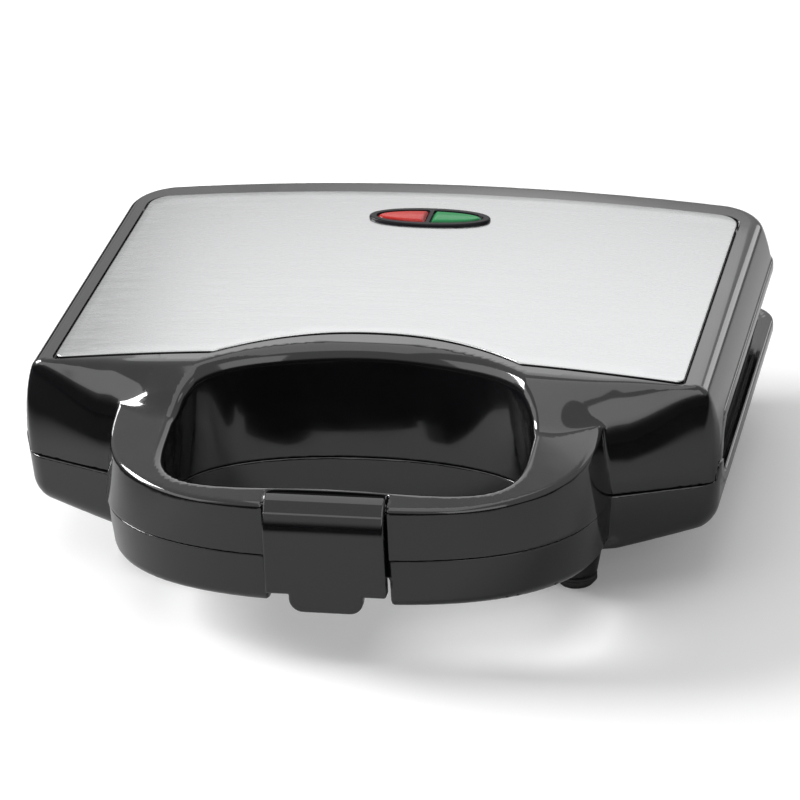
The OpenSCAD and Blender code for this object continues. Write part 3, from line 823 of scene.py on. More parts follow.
class Dressing(Wiring):
    """The nodes of one material round its shader."""

    def __init__(self, name: str) -> None:
        """Start a material with the object's own coordinates.

        Args:
            name: name of the material.
        """
        self.material = bpy.data.materials.new(name)
        self.material.use_nodes = True
        super().__init__(self.material.node_tree)
        self.shader = self.tree.nodes["Principled BSDF"]
        self.place = self.node("ShaderNodeTexCoord").outputs["Object"]

    def effect(self, kind: Effect, **values: float) -> Sockets:
        """Place a shared effect with its own values, and give its outputs by name.

        Args:
            kind: the effect.
            values: the numbers that it takes.

        Returns:
            Its outputs.
        """
        made = self.node("ShaderNodeGroup", node_tree=EFFECTS[kind])
        self.tree.links.new(self.place, made.inputs["Vector"])
        for label, value in values.items():
            made.inputs[label].default_value = value
        return made.outputs

    def mask(self, kind: Effect, **values: float) -> Socket:
        """Place a shared effect and give its mask."""
        return self.effect(kind, **values)["Mask"]

    def tint(self, mask: object, a: object, b: object) -> Socket:
        """Go from colour a to colour b with a mask.

        Args:
            mask: 0 for a, 1 for b.
            a: a colour or a socket.
            b: another.

        Returns:
            The mixed colour.
        """
        mix = self.node("ShaderNodeMix", data_type="RGBA")
        self.fill(mix.inputs[0], mask)
        for key, value in ((6, a), (7, b)):
            self.fill(mix.inputs[key], value if isinstance(value, Socket) else (*value, 1))
        return mix.outputs[2]

    def bump(self, height: object, depth: float) -> Socket:
        """Turn a height, whose full range is depth metres, into normals."""
        return self.out("ShaderNodeBump", {"Height": height, "Distance": depth, "Strength": 1.0})

    def feed(self, **sockets: object) -> None:
        """Give values or sockets to the shader, with spaces in its names written as underscores."""
        for key, value in sockets.items():
            self.fill(self.shader.inputs[key.replace("_", " ")], value)


# ---------------------------------------------------------------- finishes


def shade(color: Color, share: float, more: float = 0.0) -> Color:
    """Give a colour times share, plus more."""
    return tuple(min(1, c * share + more) for c in color)


@dataclass(frozen=True)
class Moulded:
    """Black moulded plastic, with a fine grain, hairlines and a little dust."""

    name: str
    color: Color = (0.0048, 0.0048, 0.0054)
    rough: float = 0.085
    grain: float = 1600.0
    depth: float = 0.0000012
    scratches: float = 0.3
    dust: float = 0.05
    specular: float = 0.5
    coat: float = 0.5
    wear: float = 0.35
    dust_color: Color = (0.22, 0.21, 0.2)

    def material(self) -> Material:
        """Build the material.

        Returns:
            The new material.
        """
        d = Dressing(self.name)
        grain = d.effect(Effect.GRAIN, Scale=self.grain)
        hair = d.mask(Effect.SCRATCHES, Amount=self.scratches)
        dust = d.mask(Effect.DUST, Amount=self.dust)
        wear = d.mask(Effect.WEAR, Amount=self.wear)
        base = d.tint(grain["Cloud"], shade(self.color, 0.8), self.color)
        worn = d.tint(wear, base, shade(self.color, 1.8, 0.003))
        hazy = d.math("ADD", d.product(hair, 0.16), d.product(dust, 0.5))
        rough = d.band(grain["Cloud"], 0, 1, self.rough - 0.015, self.rough + 0.03)
        d.feed(Base_Color=d.tint(dust, worn, self.dust_color),
               Roughness=d.math("ADD", rough, hazy, clamp=True), IOR=1.6,
               Coat_Weight=self.coat, Coat_Roughness=0.04, Coat_IOR=1.5, Specular_IOR_Level=self.specular,
               Normal=d.bump(grain["Height"], self.depth))
        return d.material


@dataclass(frozen=True)
class BrushedSteel:
    """Sheet steel with fine lines along its width."""

    name: str
    color: Color = (0.62, 0.625, 0.63)
    rough: float = 0.25
    lines: float = 1900.0
    depth: float = 0.0000022
    dust_color: Color = (0.35, 0.34, 0.33)

    def material(self) -> Material:
        """Build the material.

        Returns:
            The new material.
        """
        d = Dressing(self.name)
        brush = d.effect(Effect.BRUSHING, Scale=self.lines)
        dust = d.mask(Effect.DUST, Amount=0.05)
        hair = d.mask(Effect.SCRATCHES, Amount=0.3, Scale=45.0)
        steel = d.tint(brush["Tone"], shade(self.color, 0.93), self.color)
        rough = d.band(brush["Tone"], 0, 1, self.rough - 0.04, self.rough + 0.04)
        d.feed(Base_Color=d.tint(dust, steel, self.dust_color), Metallic=1.0,
               Roughness=d.math("ADD", rough, d.product(hair, 0.12)), Anisotropic=0.35,
               Anisotropic_Rotation=0.0, Normal=d.bump(brush["Height"], self.depth),
               Tangent=d.out("ShaderNodeTangent", direction_type="UV_MAP", uv_map="lines"))
        return d.material


@dataclass(frozen=True)
class Metal:
    """Bare metal of a small part, turned or drawn, with a faint haze."""

    name: str
    color: Color
    rough: float
    tarnish: Color
    tarnish_share: float = 0.4
    scale: float = 700.0
    depth: float = 0.00001

    def material(self) -> Material:
        """Build the material.

        Returns:
            The new material.
        """
        d = Dressing(self.name)
        brush = d.effect(Effect.BRUSHING, Scale=self.scale)
        cloud = d.effect(Effect.GRAIN, Scale=self.scale * 1.5)["Cloud"]
        haze = d.product(cloud, self.tarnish_share)
        rough = d.band(cloud, 0, 1, self.rough, self.rough + 0.12)
        d.feed(Base_Color=d.tint(haze, self.color, self.tarnish), Metallic=1.0,
               Roughness=d.math("ADD", d.product(brush["Tone"], 0.08), rough),
               Normal=d.bump(brush["Height"], self.depth))
        return d.material


@dataclass(frozen=True)
class Nonstick:
    """Dark release coating with fine pale flecks over cast metal."""

    name: str
    color: Color = (0.022, 0.022, 0.024)
    cloudy: Color = (0.03, 0.03, 0.031)
    fleck: Color = (0.16, 0.16, 0.155)
    bare: Color = (0.09, 0.088, 0.085)
    rough: float = 0.42
    depth: float = 0.00004

    def material(self) -> Material:
        """Build the material.

        Returns:
            The new material.
        """
        d = Dressing(self.name)
        grain = d.effect(Effect.GRAIN, Scale=1100.0)
        flecks = d.product(d.band(d.noise(d.place, 2300.0, 0.0), 0.7, 0.76), 0.5)
        base = d.tint(flecks, d.tint(grain["Cloud"], self.color, self.cloudy), self.fleck)
        d.feed(Base_Color=d.tint(d.mask(Effect.WEAR, Amount=0.5), base, self.bare), Metallic=0.25,
               Roughness=d.band(grain["Cloud"], 0, 1, self.rough - 0.06, self.rough + 0.06),
               Normal=d.bump(grain["Height"], self.depth))
        return d.material


@dataclass(frozen=True)
class Lens:
    """Clear tinted plastic over a lamp, with painted shade that darkens its sloping sides and painted light
    on its top.
    """

    name: str
    color: Color
    shaded_color: Color
    through: float = 0.25
    ribs: float = 400.0
    depth: float = 0.000008

    def material(self) -> Material:
        """Build the material.

        Returns:
            The new material.
        """
        d = Dressing(self.name)
        grain = d.effect(Effect.GRAIN, Scale=900.0)
        ribs = d.node("ShaderNodeTexWave", {"Vector": d.place, "Scale": self.ribs, "Distortion": 0.0},
                      wave_type="BANDS", bands_direction="X").outputs["Fac"]
        # painted light and shade: faces that point up get the lit colour, sloping faces the painted shade
        # colour; the ribs and the cloud vary it a little
        painted_top_light = d.product(d.band(d.upward(), 0.55, 0.98), d.band(grain["Cloud"], 0, 1, 0.85, 1.0),
                        d.band(ribs, 0, 1, 0.9, 1.0))
        d.feed(Base_Color=d.tint(painted_top_light, self.shaded_color, self.color), IOR=1.4, Specular_IOR_Level=0.3,
               Roughness=d.band(grain["Cloud"], 0, 1, 0.12, 0.2), Transmission_Weight=self.through,
               Coat_Weight=0.1, Coat_Roughness=0.08, Normal=d.bump(grain["Height"], self.depth))
        return d.material


@dataclass(frozen=True)
class Dull:
    """Rubber, ceramic or inner plastic: no gloss, a soft mottle and a fine tooth."""

    name: str
    color: Color
    other: Color
    rough: float = 0.7
    scale: float = 900.0
    depth: float = 0.00004
    dust_color: Color = (0.3, 0.29, 0.27)

    def material(self) -> Material:
        """Build the material.

        Returns:
            The new material.
        """
        d = Dressing(self.name)
        grain = d.effect(Effect.GRAIN, Scale=self.scale)
        base = d.tint(grain["Cloud"], self.color, self.other)
        worn = d.tint(d.mask(Effect.WEAR, Amount=0.3), base, shade(self.other, 1.6, 0.01))
        d.feed(Base_Color=d.tint(d.mask(Effect.DUST, Amount=0.2), worn, self.dust_color),
               Roughness=d.band(grain["Cloud"], 0, 1, self.rough - 0.08, self.rough + 0.06),
               Normal=d.bump(grain["Height"], self.depth))
        return d.material


class Finish(Enum):
    """The finish of each material slot in the record."""

    black_gloss = Moulded("black_gloss")
    bezel_gloss = Moulded("bezel_gloss", (0.006, 0.006, 0.008), 0.3, 2200.0, 0.000001, 0.2, 0.02, 0.12, 0.0)
    nonstick = Nonstick("nonstick")
    heater_steel = Metal("heater_steel", (0.3, 0.28, 0.25), 0.42, (0.1, 0.075, 0.06), 0.8)
    reflector_sheet = Metal("reflector_sheet", (0.8, 0.8, 0.8), 0.2, (0.5, 0.42, 0.3), 0.3)
    screw_steel = Metal("screw_steel", (0.62, 0.62, 0.63), 0.26, (0.35, 0.33, 0.3), 0.35, 1400.0)
    thermostat_body = Dull("thermostat_body", (0.55, 0.5, 0.4), (0.45, 0.4, 0.31), 0.55)
    terminal_plastic = Dull("terminal_plastic", (0.72, 0.71, 0.66), (0.64, 0.62, 0.56), 0.45, 1200.0, 0.00002)
    inlet_rubber = Dull("inlet_rubber", (0.016, 0.016, 0.016), (0.024, 0.024, 0.024), 0.62)
    pin_steel = Metal("pin_steel", (0.6, 0.6, 0.61), 0.22, (0.34, 0.32, 0.3), 0.3, 1500.0)
    brushed_inlay = BrushedSteel("brushed_inlay")
    # the second colour of each lens is its painted shade colour, for the sloping sides
    red_lens = Lens("red_lens", (0.66, 0.03, 0.022), (0.2, 0.003, 0.004))
    green_lens = Lens("green_lens", (0.003, 0.32, 0.085), (0.001, 0.09, 0.02))
    lamp_glass = Lens("lamp_glass", (0.9, 0.86, 0.78), (0.7, 0.62, 0.5), 0.7)
    spring_steel = Metal("spring_steel", (0.5, 0.5, 0.51), 0.24, (0.24, 0.22, 0.2), 0.4, 1800.0)
    pad_rubber = Dull("pad_rubber", (0.02, 0.02, 0.02), (0.032, 0.031, 0.03), 0.75, 1300.0)

    def made(self) -> Material:
        """Give the finish's material, which is built when it is first asked for.

        Returns:
            The material.
        """
        found = bpy.data.materials.get(self.name)
        if found is None or not found.get("dressed"):
            if found is not None:
                found.name = f"plain_{self.name}"
            found = self.value.material()
            found["dressed"] = 1
        return found

    def on(self, obj: Piece) -> None:
        """Put the finish on an object, with one material for all its faces.

        Args:
            obj: the object.
        """
        if obj.material_slots:
            for place in obj.material_slots:
                place.material = self.made()
        else:
            obj.data.materials.append(self.made())


def settle(obj: Piece, body: str, finish: Finish, *nodes: str) -> Piece:
    """Dress a piece, give it its body and hide the CAD nodes that it stands for.

    Args:
        obj: the piece.
        body: the body that it rides on.
        finish: its finish.
        nodes: the nodes that it replaces.

    Returns:
        The piece.
    """
    finish.on(obj)
    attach(obj, body)
    if nodes:
        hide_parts(*nodes)
    return obj


# ---------------------------------------------------------------- housings


def rim_path(z: float, front: float, run: float, rise: float, turn: float) -> list[Pair]:
    """List the points that a rim follows in side view.

    Args:
        z: height of its straight stretch.
        front: where the straight stretch ends in front.
        run: half width of the oval that it then follows.
        rise: half height of that oval, less than 0 downwards.
        turn: how far it follows the oval, in degrees.

    Returns:
        Points from the back to the front end.
    """
    t = np.radians(np.linspace(0, turn, 16))
    return [(106.0, z), *zip(front - run * np.sin(t), z + rise * (1 - np.cos(t)))]


def rim(edge: Array, y: Array, z: Array, path: Sequence[Pair], r: float = 2.15) -> Array:
    """Measure a rim that stands out round and follows a path along the body's sides.

    Args:
        edge: distance to the outline from above that the rim stays inside.
        y: places front to back.
        z: places upwards.
        path: what the rim follows in side view.
        r: its radius.

    Returns:
        Signed distances, negative inside.
    """
    return round_max(along_path(y, z, path) - r, round_max(edge, -(edge + T.rim_depth), 1.2), 1.0)


def knuckles(across: Array, y: Array, z: Array, web: Pair, bore: float) -> Array:
    """Measure hinge knuckles round the hinge's pins, with their webs.

    Args:
        across: distance beyond the knuckles' ends along the pins, negative between the ends.
        y: places front to back.
        z: places upwards.
        web: middle height and half height of the webs.
        bore: radius of the hole for the pins.

    Returns:
        Signed distances, negative inside.
    """
    hy, hz = T.hinge
    away = np.hypot(y - hy, z - hz)
    barrel = round_max(away - T.knuckle_r, across, 0.6)
    arm = common(round_max(across, np.abs(z - web[0]) - web[1], 0.8), y - hy, T.arm_front - y)
    return common(either(barrel, arm), bore - away)


def hollow(form: Array) -> Array:
    """Keep only a form's wall."""
    return common(form, -(form + T.wall))


@dataclass
class LidShell:
    """The lid's housing with the upper half of the handle, as one moulding."""

    side: float = 119.1
    side_in: float = 4.4
    side_z: float = 45.0
    side_rise: float = 27.0
    side_power: float = 2.5
    side_level: float = 0.96
    face_r: float = 1.2
    back: float = 110.8
    edge_r: float = 3.0
    roll_run: float = 13.5
    roll_drop: float = 33.0
    roll_over: float = 0.9
    roll_power: float = 1.75
    roll_side: float = 7.5
    roll_end: float = 113.0
    loop_run: float = 8.0
    loop_drop: float = 6.0
    loop_power: float = 0.25
    loop_end: Pair = (58.0, 90.0)
    cheek_slope: float = 0.405
    cheek_soft: float = 4.0
    well_w: float = 56.0
    well_d: float = 21.7
    well_powers: Pair = (2.4, 1.15)
    handle_top: float = 57.8
    handle_slope: float = 0.215
    handle_level: float = 0.978
    handle_crown_r: float = 495.0
    handle_edge: float = 1.6
    handle_back: float = -20.0
    blend: Pair = (1.0, 9.0)
    blend_end: Pair = (66.0, 84.0)
    lean: float = 0.125
    lean_z: float = 40.0
    lean_rise: float = 26.0
    lean_end: Pair = (40.0, 74.0)
    grip_edge: float = 3.2
    seam: float = 39.15
    notch_back: float = -107.0
    notch_z: float = 50.0
    notch_r: float = 2.2
    bar_z: float = 42.0
    rim_z: float = 56.15
    rim_turn: tuple[float, float, float, float] = (-24.0, 19.0, -15.2, 65.0)
    knuckle_half: float = 8.0
    knuckle_web: Pair = (52.3, 6.0)
    knuckle_bore: float = 2.15

    def roll(self, ax: Array, y: Array, z: Array) -> Array:
        """Measure the front, which rolls over from the inlay's border down to the face.

        Args:
            ax: places across, as distances from the middle.
            y: places front to back.
            z: places upwards.

        Returns:
            Signed distances, negative inside.
        """
        soft = self.cheek_soft
        past = soft * np.log1p(np.exp(np.clip((ax - T.handle_w) / soft, -30, 30)))
        inner, outer = self.well_powers
        well = np.maximum(0, 1 - (ax / self.well_w) ** inner) ** outer
        loop = 1 - step(ax, *self.loop_end)
        face = T.root + self.cheek_slope * past + self.well_d * well
        run = self.roll_run + self.loop_run * loop - self.roll_side * step(ax, T.handle_w, self.roll_end)
        face = face - self.loop_run * loop
        drop = self.roll_drop - self.loop_drop * loop
        n = self.roll_power - self.loop_power * loop
        low = T.crown(ax) + self.roll_over - drop
        u, v = np.maximum(face + run - y, 0) / run, np.maximum(z - low, 0) / drop
        q = np.maximum((u**n + v**n) ** (1 / n), 1e-3)
        rise = np.hypot((u / q) ** (n - 1) / run, (v / q) ** (n - 1) / drop)
        return (q - 1) / np.maximum(rise, 1e-4)

    def handle(self, ax: Array, y: Array, z: Array) -> Array:
        """Measure the upper half of the handle, whose top rises to the lid.

        Args:
            ax: places across, as distances from the middle.
            y: places front to back.
            z: places upwards.

        Returns:
            Signed distances, negative inside.
        """
        top = self.handle_top + self.handle_slope * (y - T.bar_front) - ax**2 / (2 * self.handle_crown_r)
        lean = self.lean * np.clip(z - self.lean_z, 0, self.lean_rise) * step(ax, *self.lean_end)
        form = round_max(T.handle_plan(ax, y, lean), (z - top) * self.handle_level, self.handle_edge)
        return common(form, y - self.handle_back)

    def solid(self, x: Array, y: Array, z: Array) -> Array:
        """Measure the outside, before it is hollowed and parted.

        Args:
            x: places across.
            y: places front to back.
            z: places upwards.

        Returns:
            Signed distances, negative inside.
        """
        ax = np.abs(x)
        over = z - T.crown(x)
        share = np.clip(z - self.side_z, 0, 40) / self.side_rise
        outline = T.plan(x, y, self.side - self.side_in * share**self.side_power, self.back)
        body = round_max(outline * self.side_level, over, self.edge_r)
        body = round_max(body, self.roll(ax, y, z), self.face_r)
        least, more = self.blend
        form = blend_min(body, self.handle(ax, y, z), least + more * (1 - step(ax, *self.blend_end)))
        return round_max(common(form, over), -T.grip(x, y, z), self.grip_edge)

    def low_edge(self, x: Array, y: Array, z: Array) -> Array:
        """Give the height of the lid's lower edge, which rises in two steps behind the front."""
        side = np.interp(y, [-45.15, -43.15, -38.3, -29.5], [self.seam, 45.15, 45.15, 54.0])
        return np.where(T.grip(x, y, z) < T.wall + 0.3, self.seam, side)

    def field(self, x: Array, y: Array, z: Array) -> Array:
        """Measure the finished moulding.

        Args:
            x: places across.
            y: places front to back.
            z: places upwards.

        Returns:
            Signed distances, negative inside.
        """
        ax = np.abs(x)
        beside = ax - T.notch_half
        form = self.solid(x, y, z)
        notch = either(
            common(round_max(beside, y - self.notch_back, self.notch_r), self.notch_z - z),
            common(beside, y - T.notch_front),
        )
        bar = common(form, ax - T.bar_half, y - T.bar_back, self.bar_z - z)
        shell = round_max(either(hollow(form), bar), -notch, 0.7)
        shell = round_max(shell, self.low_edge(x, y, z) - z, 0.4)
        edge = T.plan(x, y, T.half_w - T.rim_in, self.back)
        shell = blend_min(shell, rim(edge, y, z, rim_path(self.rim_z, *self.rim_turn)), 0.5)
        across = np.abs(ax - T.hinge_x) - self.knuckle_half
        return blend_min(shell, knuckles(across, y, z, self.knuckle_web, self.knuckle_bore), 1.0)

    def build(self) -> Piece:
        """Make the shell and cut the inlay's recess into it.

        Returns:
            The piece.
        """
        xs = mirrored((0, 54, 1.5), (54, 92, 1.0), (92, 106, 2.0), (106, 122, 0.9))
        ys = spaced((-119, -104, 0.9), (-104, -86, 1.8), (-86, -24, 1.2), (-24, 90, 4.0), (90, 121, 1.2))
        zs = spaced((37.5, 38.9, 0.7), (38.9, 40.1, 0.4), (40.1, 52, 1.0), (52, 82, 0.95))
        obj = skin("lid_shell", self.field, xs, ys, zs)
        tool = plate_mesh("recess", T.inlay_ring(1.1), [(0, -2.0), (0, 8.0)], 7.0, T.lid_height)
        carve(obj, tool, self.field)
        return settle(obj, "lid", Finish.black_gloss, "upper_housing")


@dataclass
class BaseShell:
    """The lower housing with the lower half of the handle and the legs."""

    side: float = 119.1
    lean: float = 0.1
    lean_z: float = 41.0
    under_r: float = 667.0
    under_edge: float = 6.5
    base_z: float = 12.0
    handle_low: float = 21.2
    handle_edge: float = 3.0
    taper: float = 1.6
    taper_drop: float = 16.0
    handle_back: float = -30.0
    grip_edge: float = 1.2
    leg_r: float = 7.0
    leg_flare: float = 0.206
    leg_level: float = 0.98
    leg_z: Pair = (4.05, 21.0)
    seam: float = 38.85
    slot_half: float = 20.4
    slot_back: float = -99.0
    slot_top: float = 32.0
    rim_z: float = 33.85
    rim_turn: tuple[float, float, float, float] = (-26.0, 16.2, 13.3, 71.0)
    knuckle_mid: float = 12.3
    knuckle_half: float = 4.0
    knuckle_web: Pair = (38.9, 7.1)
    knuckle_bore: float = 2.1
    bush_r: float = 6.1
    bush_front: float = 95.0

    def solid(self, x: Array, y: Array, z: Array) -> Array:
        """Measure the outside, before it is hollowed and parted.

        Args:
            x: places across.
            y: places front to back.
            z: places upwards.

        Returns:
            Signed distances, negative inside.
        """
        ax = np.abs(x)
        under = self.base_z + self.under_r - np.sqrt(self.under_r**2 - x**2)
        outline = T.plan(x, y, self.side - self.lean * (self.lean_z - z))
        body = round_max(outline, under - z, self.under_edge)
        inset_by = self.taper * (self.lean_z - z) / self.taper_drop
        loop = round_max(T.handle_plan(x, y, inset_by), self.handle_low - z, self.handle_edge)
        form = blend_min(body, common(loop, y - self.handle_back), 1.2)
        low, high = self.leg_z
        for leg_y in T.legs_y:
            away = np.hypot(ax - T.leg_x, y - leg_y)
            cone = (away - self.leg_r - (z - 4) * self.leg_flare) * self.leg_level
            form = blend_min(form, round_max(common(cone, z - high), low - z, 0.8), 1.5)
        return round_max(form, -T.grip(x, y, z), self.grip_edge)

    def high_edge(self, x: Array, y: Array, z: Array) -> Array:
        """Give the height of the lower housing's upper edge, with a step up behind the front and one down."""
        side = np.interp(y, [-44.85, -42.85, -38.3, -31.5], [self.seam, 44.85, 44.85, 36.0])
        return np.where(T.grip(x, y, z) < T.wall + 0.6, self.seam, side)

    def field(self, x: Array, y: Array, z: Array) -> Array:
        """Measure the finished moulding.

        Args:
            x: places across.
            y: places front to back.
            z: places upwards.

        Returns:
            Signed distances, negative inside.
        """
        ax = np.abs(x)
        form = self.solid(x, y, z)
        shell = either(hollow(form), common(form, ax - T.bar_half, y - T.bar_back))
        slot = either(
            common(ax - T.notch_half, y - T.notch_front),
            common(ax - self.slot_half, y - self.slot_back, z - self.slot_top),
        )
        shell = round_max(round_max(shell, -slot, 1.0), z - self.high_edge(x, y, z), 0.4)
        edge = T.plan(x, y, T.half_w - T.rim_in)
        shell = blend_min(shell, rim(edge, y, z, rim_path(self.rim_z, *self.rim_turn)), 0.5)
        across = np.abs(np.abs(ax - T.hinge_x) - self.knuckle_mid) - self.knuckle_half
        form = blend_min(shell, knuckles(across, y, z, self.knuckle_web, self.knuckle_bore), 1.0)
        bush = np.hypot(x - T.bush[0], z - T.bush[1]) - self.bush_r
        return common(form, -common(bush, self.bush_front - y))

    def build(self) -> Piece:
        """Make the shell.

        Returns:
            The piece.
        """
        xs = mirrored((0, 54, 1.6), (54, 92, 1.1), (92, 106, 2.0), (106, 122, 0.9))
        ys = spaced((-119, -104, 0.9), (-104, -86, 1.8), (-86, -24, 1.3), (-24, 66, 4.0),
                    (66, 94, 1.4), (94, 121, 1.2))
        zs = spaced((2.5, 24, 1.5), (24, 37.9, 1.0), (37.9, 39.1, 0.4), (39.1, 53, 1.0))
        obj = skin("base_shell", self.field, xs, ys, zs)
        return settle(obj, "base", Finish.black_gloss, "lower_housing")


# ---------------------------------------------------------------- inlay and lamps


@dataclass
class Inlay:
    """The brushed steel plate on the lid."""

    sheet_t: float = 1.55
    edge: float = 0.45

    def build(self) -> Piece:
        """Make the plate, with its lines running across.

        Returns:
            The piece.
        """
        top, e = T.inlay_rise, self.edge
        low = top - self.sheet_t
        profile = [(0.25, low), (0, low + 0.25), (0, top - e), (0.06, top - 0.55 * e), (0.18, top - 0.22 * e),
                   (0.36, top - 0.05 * e), (0.55, top)]
        obj = plate_mesh("inlay_plate", T.inlay_ring(0.0), profile, 5.0, T.lid_height)
        uv = obj.data.uv_layers.new(name="lines")
        corner = values_of(obj.data.loops, "vertex_index", kind=np.int64)
        place = values_of(obj.data.vertices, "co", 3)[corner]
        uv.data.foreach_set("uv", (place[:, :2] * 4 + 0.5).astype(np.float32).ravel())
        return settle(obj, "lid", Finish.brushed_inlay, "top_inlay")


@dataclass
class Lamps:
    """The oval bezel with its red and green lenses."""

    half_l: float = 21.8
    half_d: float = 7.8
    oval_power: float = 2.1
    top: float = 80.1
    seat: float = 79.35
    wall: float = 2.3
    bar: float = 0.72
    lens_top: float = 80.55
    lens_gap: float = 0.18
    lens_foot: float = 0.3
    lens_domes: Pair = (0.0011, 0.012)
    chamfer: float = 0.78

    def oval(self, x: Array, y: Array, shrink: float) -> Array:
        """Measure the bezel's outline, taken in by shrink."""
        a, b = self.half_l - shrink * 1.15, self.half_d - shrink
        return superellipse(x, y - T.bezel_y, a, b, self.oval_power)

    def opening(self, x: Array, y: Array, shrink: float) -> Array:
        """Measure the two openings for the lenses, taken in by shrink."""
        return round_max(self.oval(x, y, self.wall + shrink), self.bar + shrink - np.abs(x), 1.0)

    def frame_field(self, x: Array, y: Array, z: Array) -> Array:
        """Measure the bezel."""
        form = common(round_max(self.oval(x, y, 0), z - self.top, 0.7), T.lid_top - z)
        return round_max(form, -common(self.opening(x, y, 0), self.seat - z), 0.25)

    def lens_field(self, x: Array, y: Array, z: Array) -> Array:
        """Measure both lenses, with their chamfered and slightly domed tops.

        Args:
            x: places across.
            y: places front to back.
            z: places upwards.

        Returns:
            Signed distances, negative inside.
        """
        v = y - T.bezel_y
        side = self.opening(x, y, self.lens_gap)
        over = z - (self.lens_top - self.lens_domes[0] * x**2 - self.lens_domes[1] * v**2)
        form = round_max(common(side, over), side * 0.62 + over * 0.785 + self.chamfer, 0.35)
        return common(form, T.lid_top + self.lens_foot - z)

    def build(self) -> list[Piece]:
        """Make the bezel and the two lenses.

        Returns:
            The three pieces.
        """
        y = T.bezel_y
        frame_grid = spaced((-22.6, 22.6, 0.28)), spaced((y - 8.5, y + 8.5, 0.28)), spaced((78.3, 81.0, 0.2))
        bezel = skin("lamp_surround", self.frame_field, *frame_grid)
        made = [settle(bezel, "lid", Finish.bezel_gloss, "lamp_bezel")]
        ys, zs = spaced((y - 5.2, y + 5.2, 0.25)), spaced((78.6, 81.0, 0.18))
        for name, span, finish in (("lens_red", (-19.8, 0, 0.25), Finish.red_lens),
                                   ("lens_green", (0, 19.8, 0.25), Finish.green_lens)):
            made.append(settle(skin(name, self.lens_field, spaced(span), ys, zs), "lid", finish, finish.name))
        return made


# ---------------------------------------------------------------- latch


@dataclass
class Latch:
    """The front latch, which hangs on a pin in the handle's notch."""

    half_w: float = 20.0
    side_r: float = 0.7
    face_y: float = -116.5
    thick: float = 3.0
    low: float = 27.2
    high: float = 60.6
    lean: float = 0.03
    lean_z: float = 47.0
    top_r: float = 1.7
    top_level: float = 0.93
    inner_y: float = -114.4
    inner_in: float = 1.6
    inner_end: Pair = (50.0, 57.0)
    edge_r: float = 0.8
    tab_w: float = 12.3
    tab_low: float = 20.9
    tab_high: float = 40.0
    tab_back: float = -116.0
    tab_r: float = 4.6
    hook_w: float = 15.0
    hook_z: Pair = (28.1, 31.2)
    hook_reach: float = 3.4
    pin: Pair = (-110.5, 53.5)
    barrel_r: float = 3.2
    bore_r: float = 1.65
    web_half: float = 2.4
    web_drop: float = 0.6

    def field(self, x: Array, y: Array, z: Array) -> Array:
        """Measure the latch.

        Args:
            x: places across.
            y: places front to back.
            z: places upwards.

        Returns:
            Signed distances, negative inside.
        """
        ax = np.abs(x)
        py, pz = self.pin
        from_pin = np.hypot(y - py, z - pz)
        face = self.face_y - self.thick
        outer = face + self.lean * np.maximum(0, z - self.lean_z) ** 2
        front = round_max((outer - y) * self.top_level, z - self.high, self.top_r)
        inner = y - self.inner_y - self.inner_in * step(z, *self.inner_end)
        slab = common(front, inner, self.low - z)
        web = common(y - py, face + 2 - y, np.abs(z - pz + self.web_drop) - self.web_half)
        form = round_max(either(slab, from_pin - self.barrel_r, web), ax - self.half_w, self.side_r)
        foot = round_max(ax - self.tab_w, self.tab_low - z, self.tab_r)
        tab = common(face - y, y - self.tab_back, foot, z - self.tab_high)
        low, high = self.hook_z
        hook = common(low - z, z - high, ax - self.hook_w, np.abs(y - self.inner_y) - self.hook_reach)
        form = round_max(either(form, tab, hook), face - y, self.edge_r)
        return common(form, self.bore_r - from_pin)

    def build(self) -> Piece:
        """Make the latch.

        Returns:
            The piece.
        """
        xs, ys = mirrored((0, 9, 1.2), (9, 21, 0.55)), spaced((-120.2, -106.4, 0.45))
        zs = spaced((20.2, 34, 0.5), (34, 48, 1.0), (48, 61.4, 0.5))
        return settle(skin("latch_body", self.field, xs, ys, zs), "latch", Finish.black_gloss, "latch_clip")


# ---------------------------------------------------------------- plates


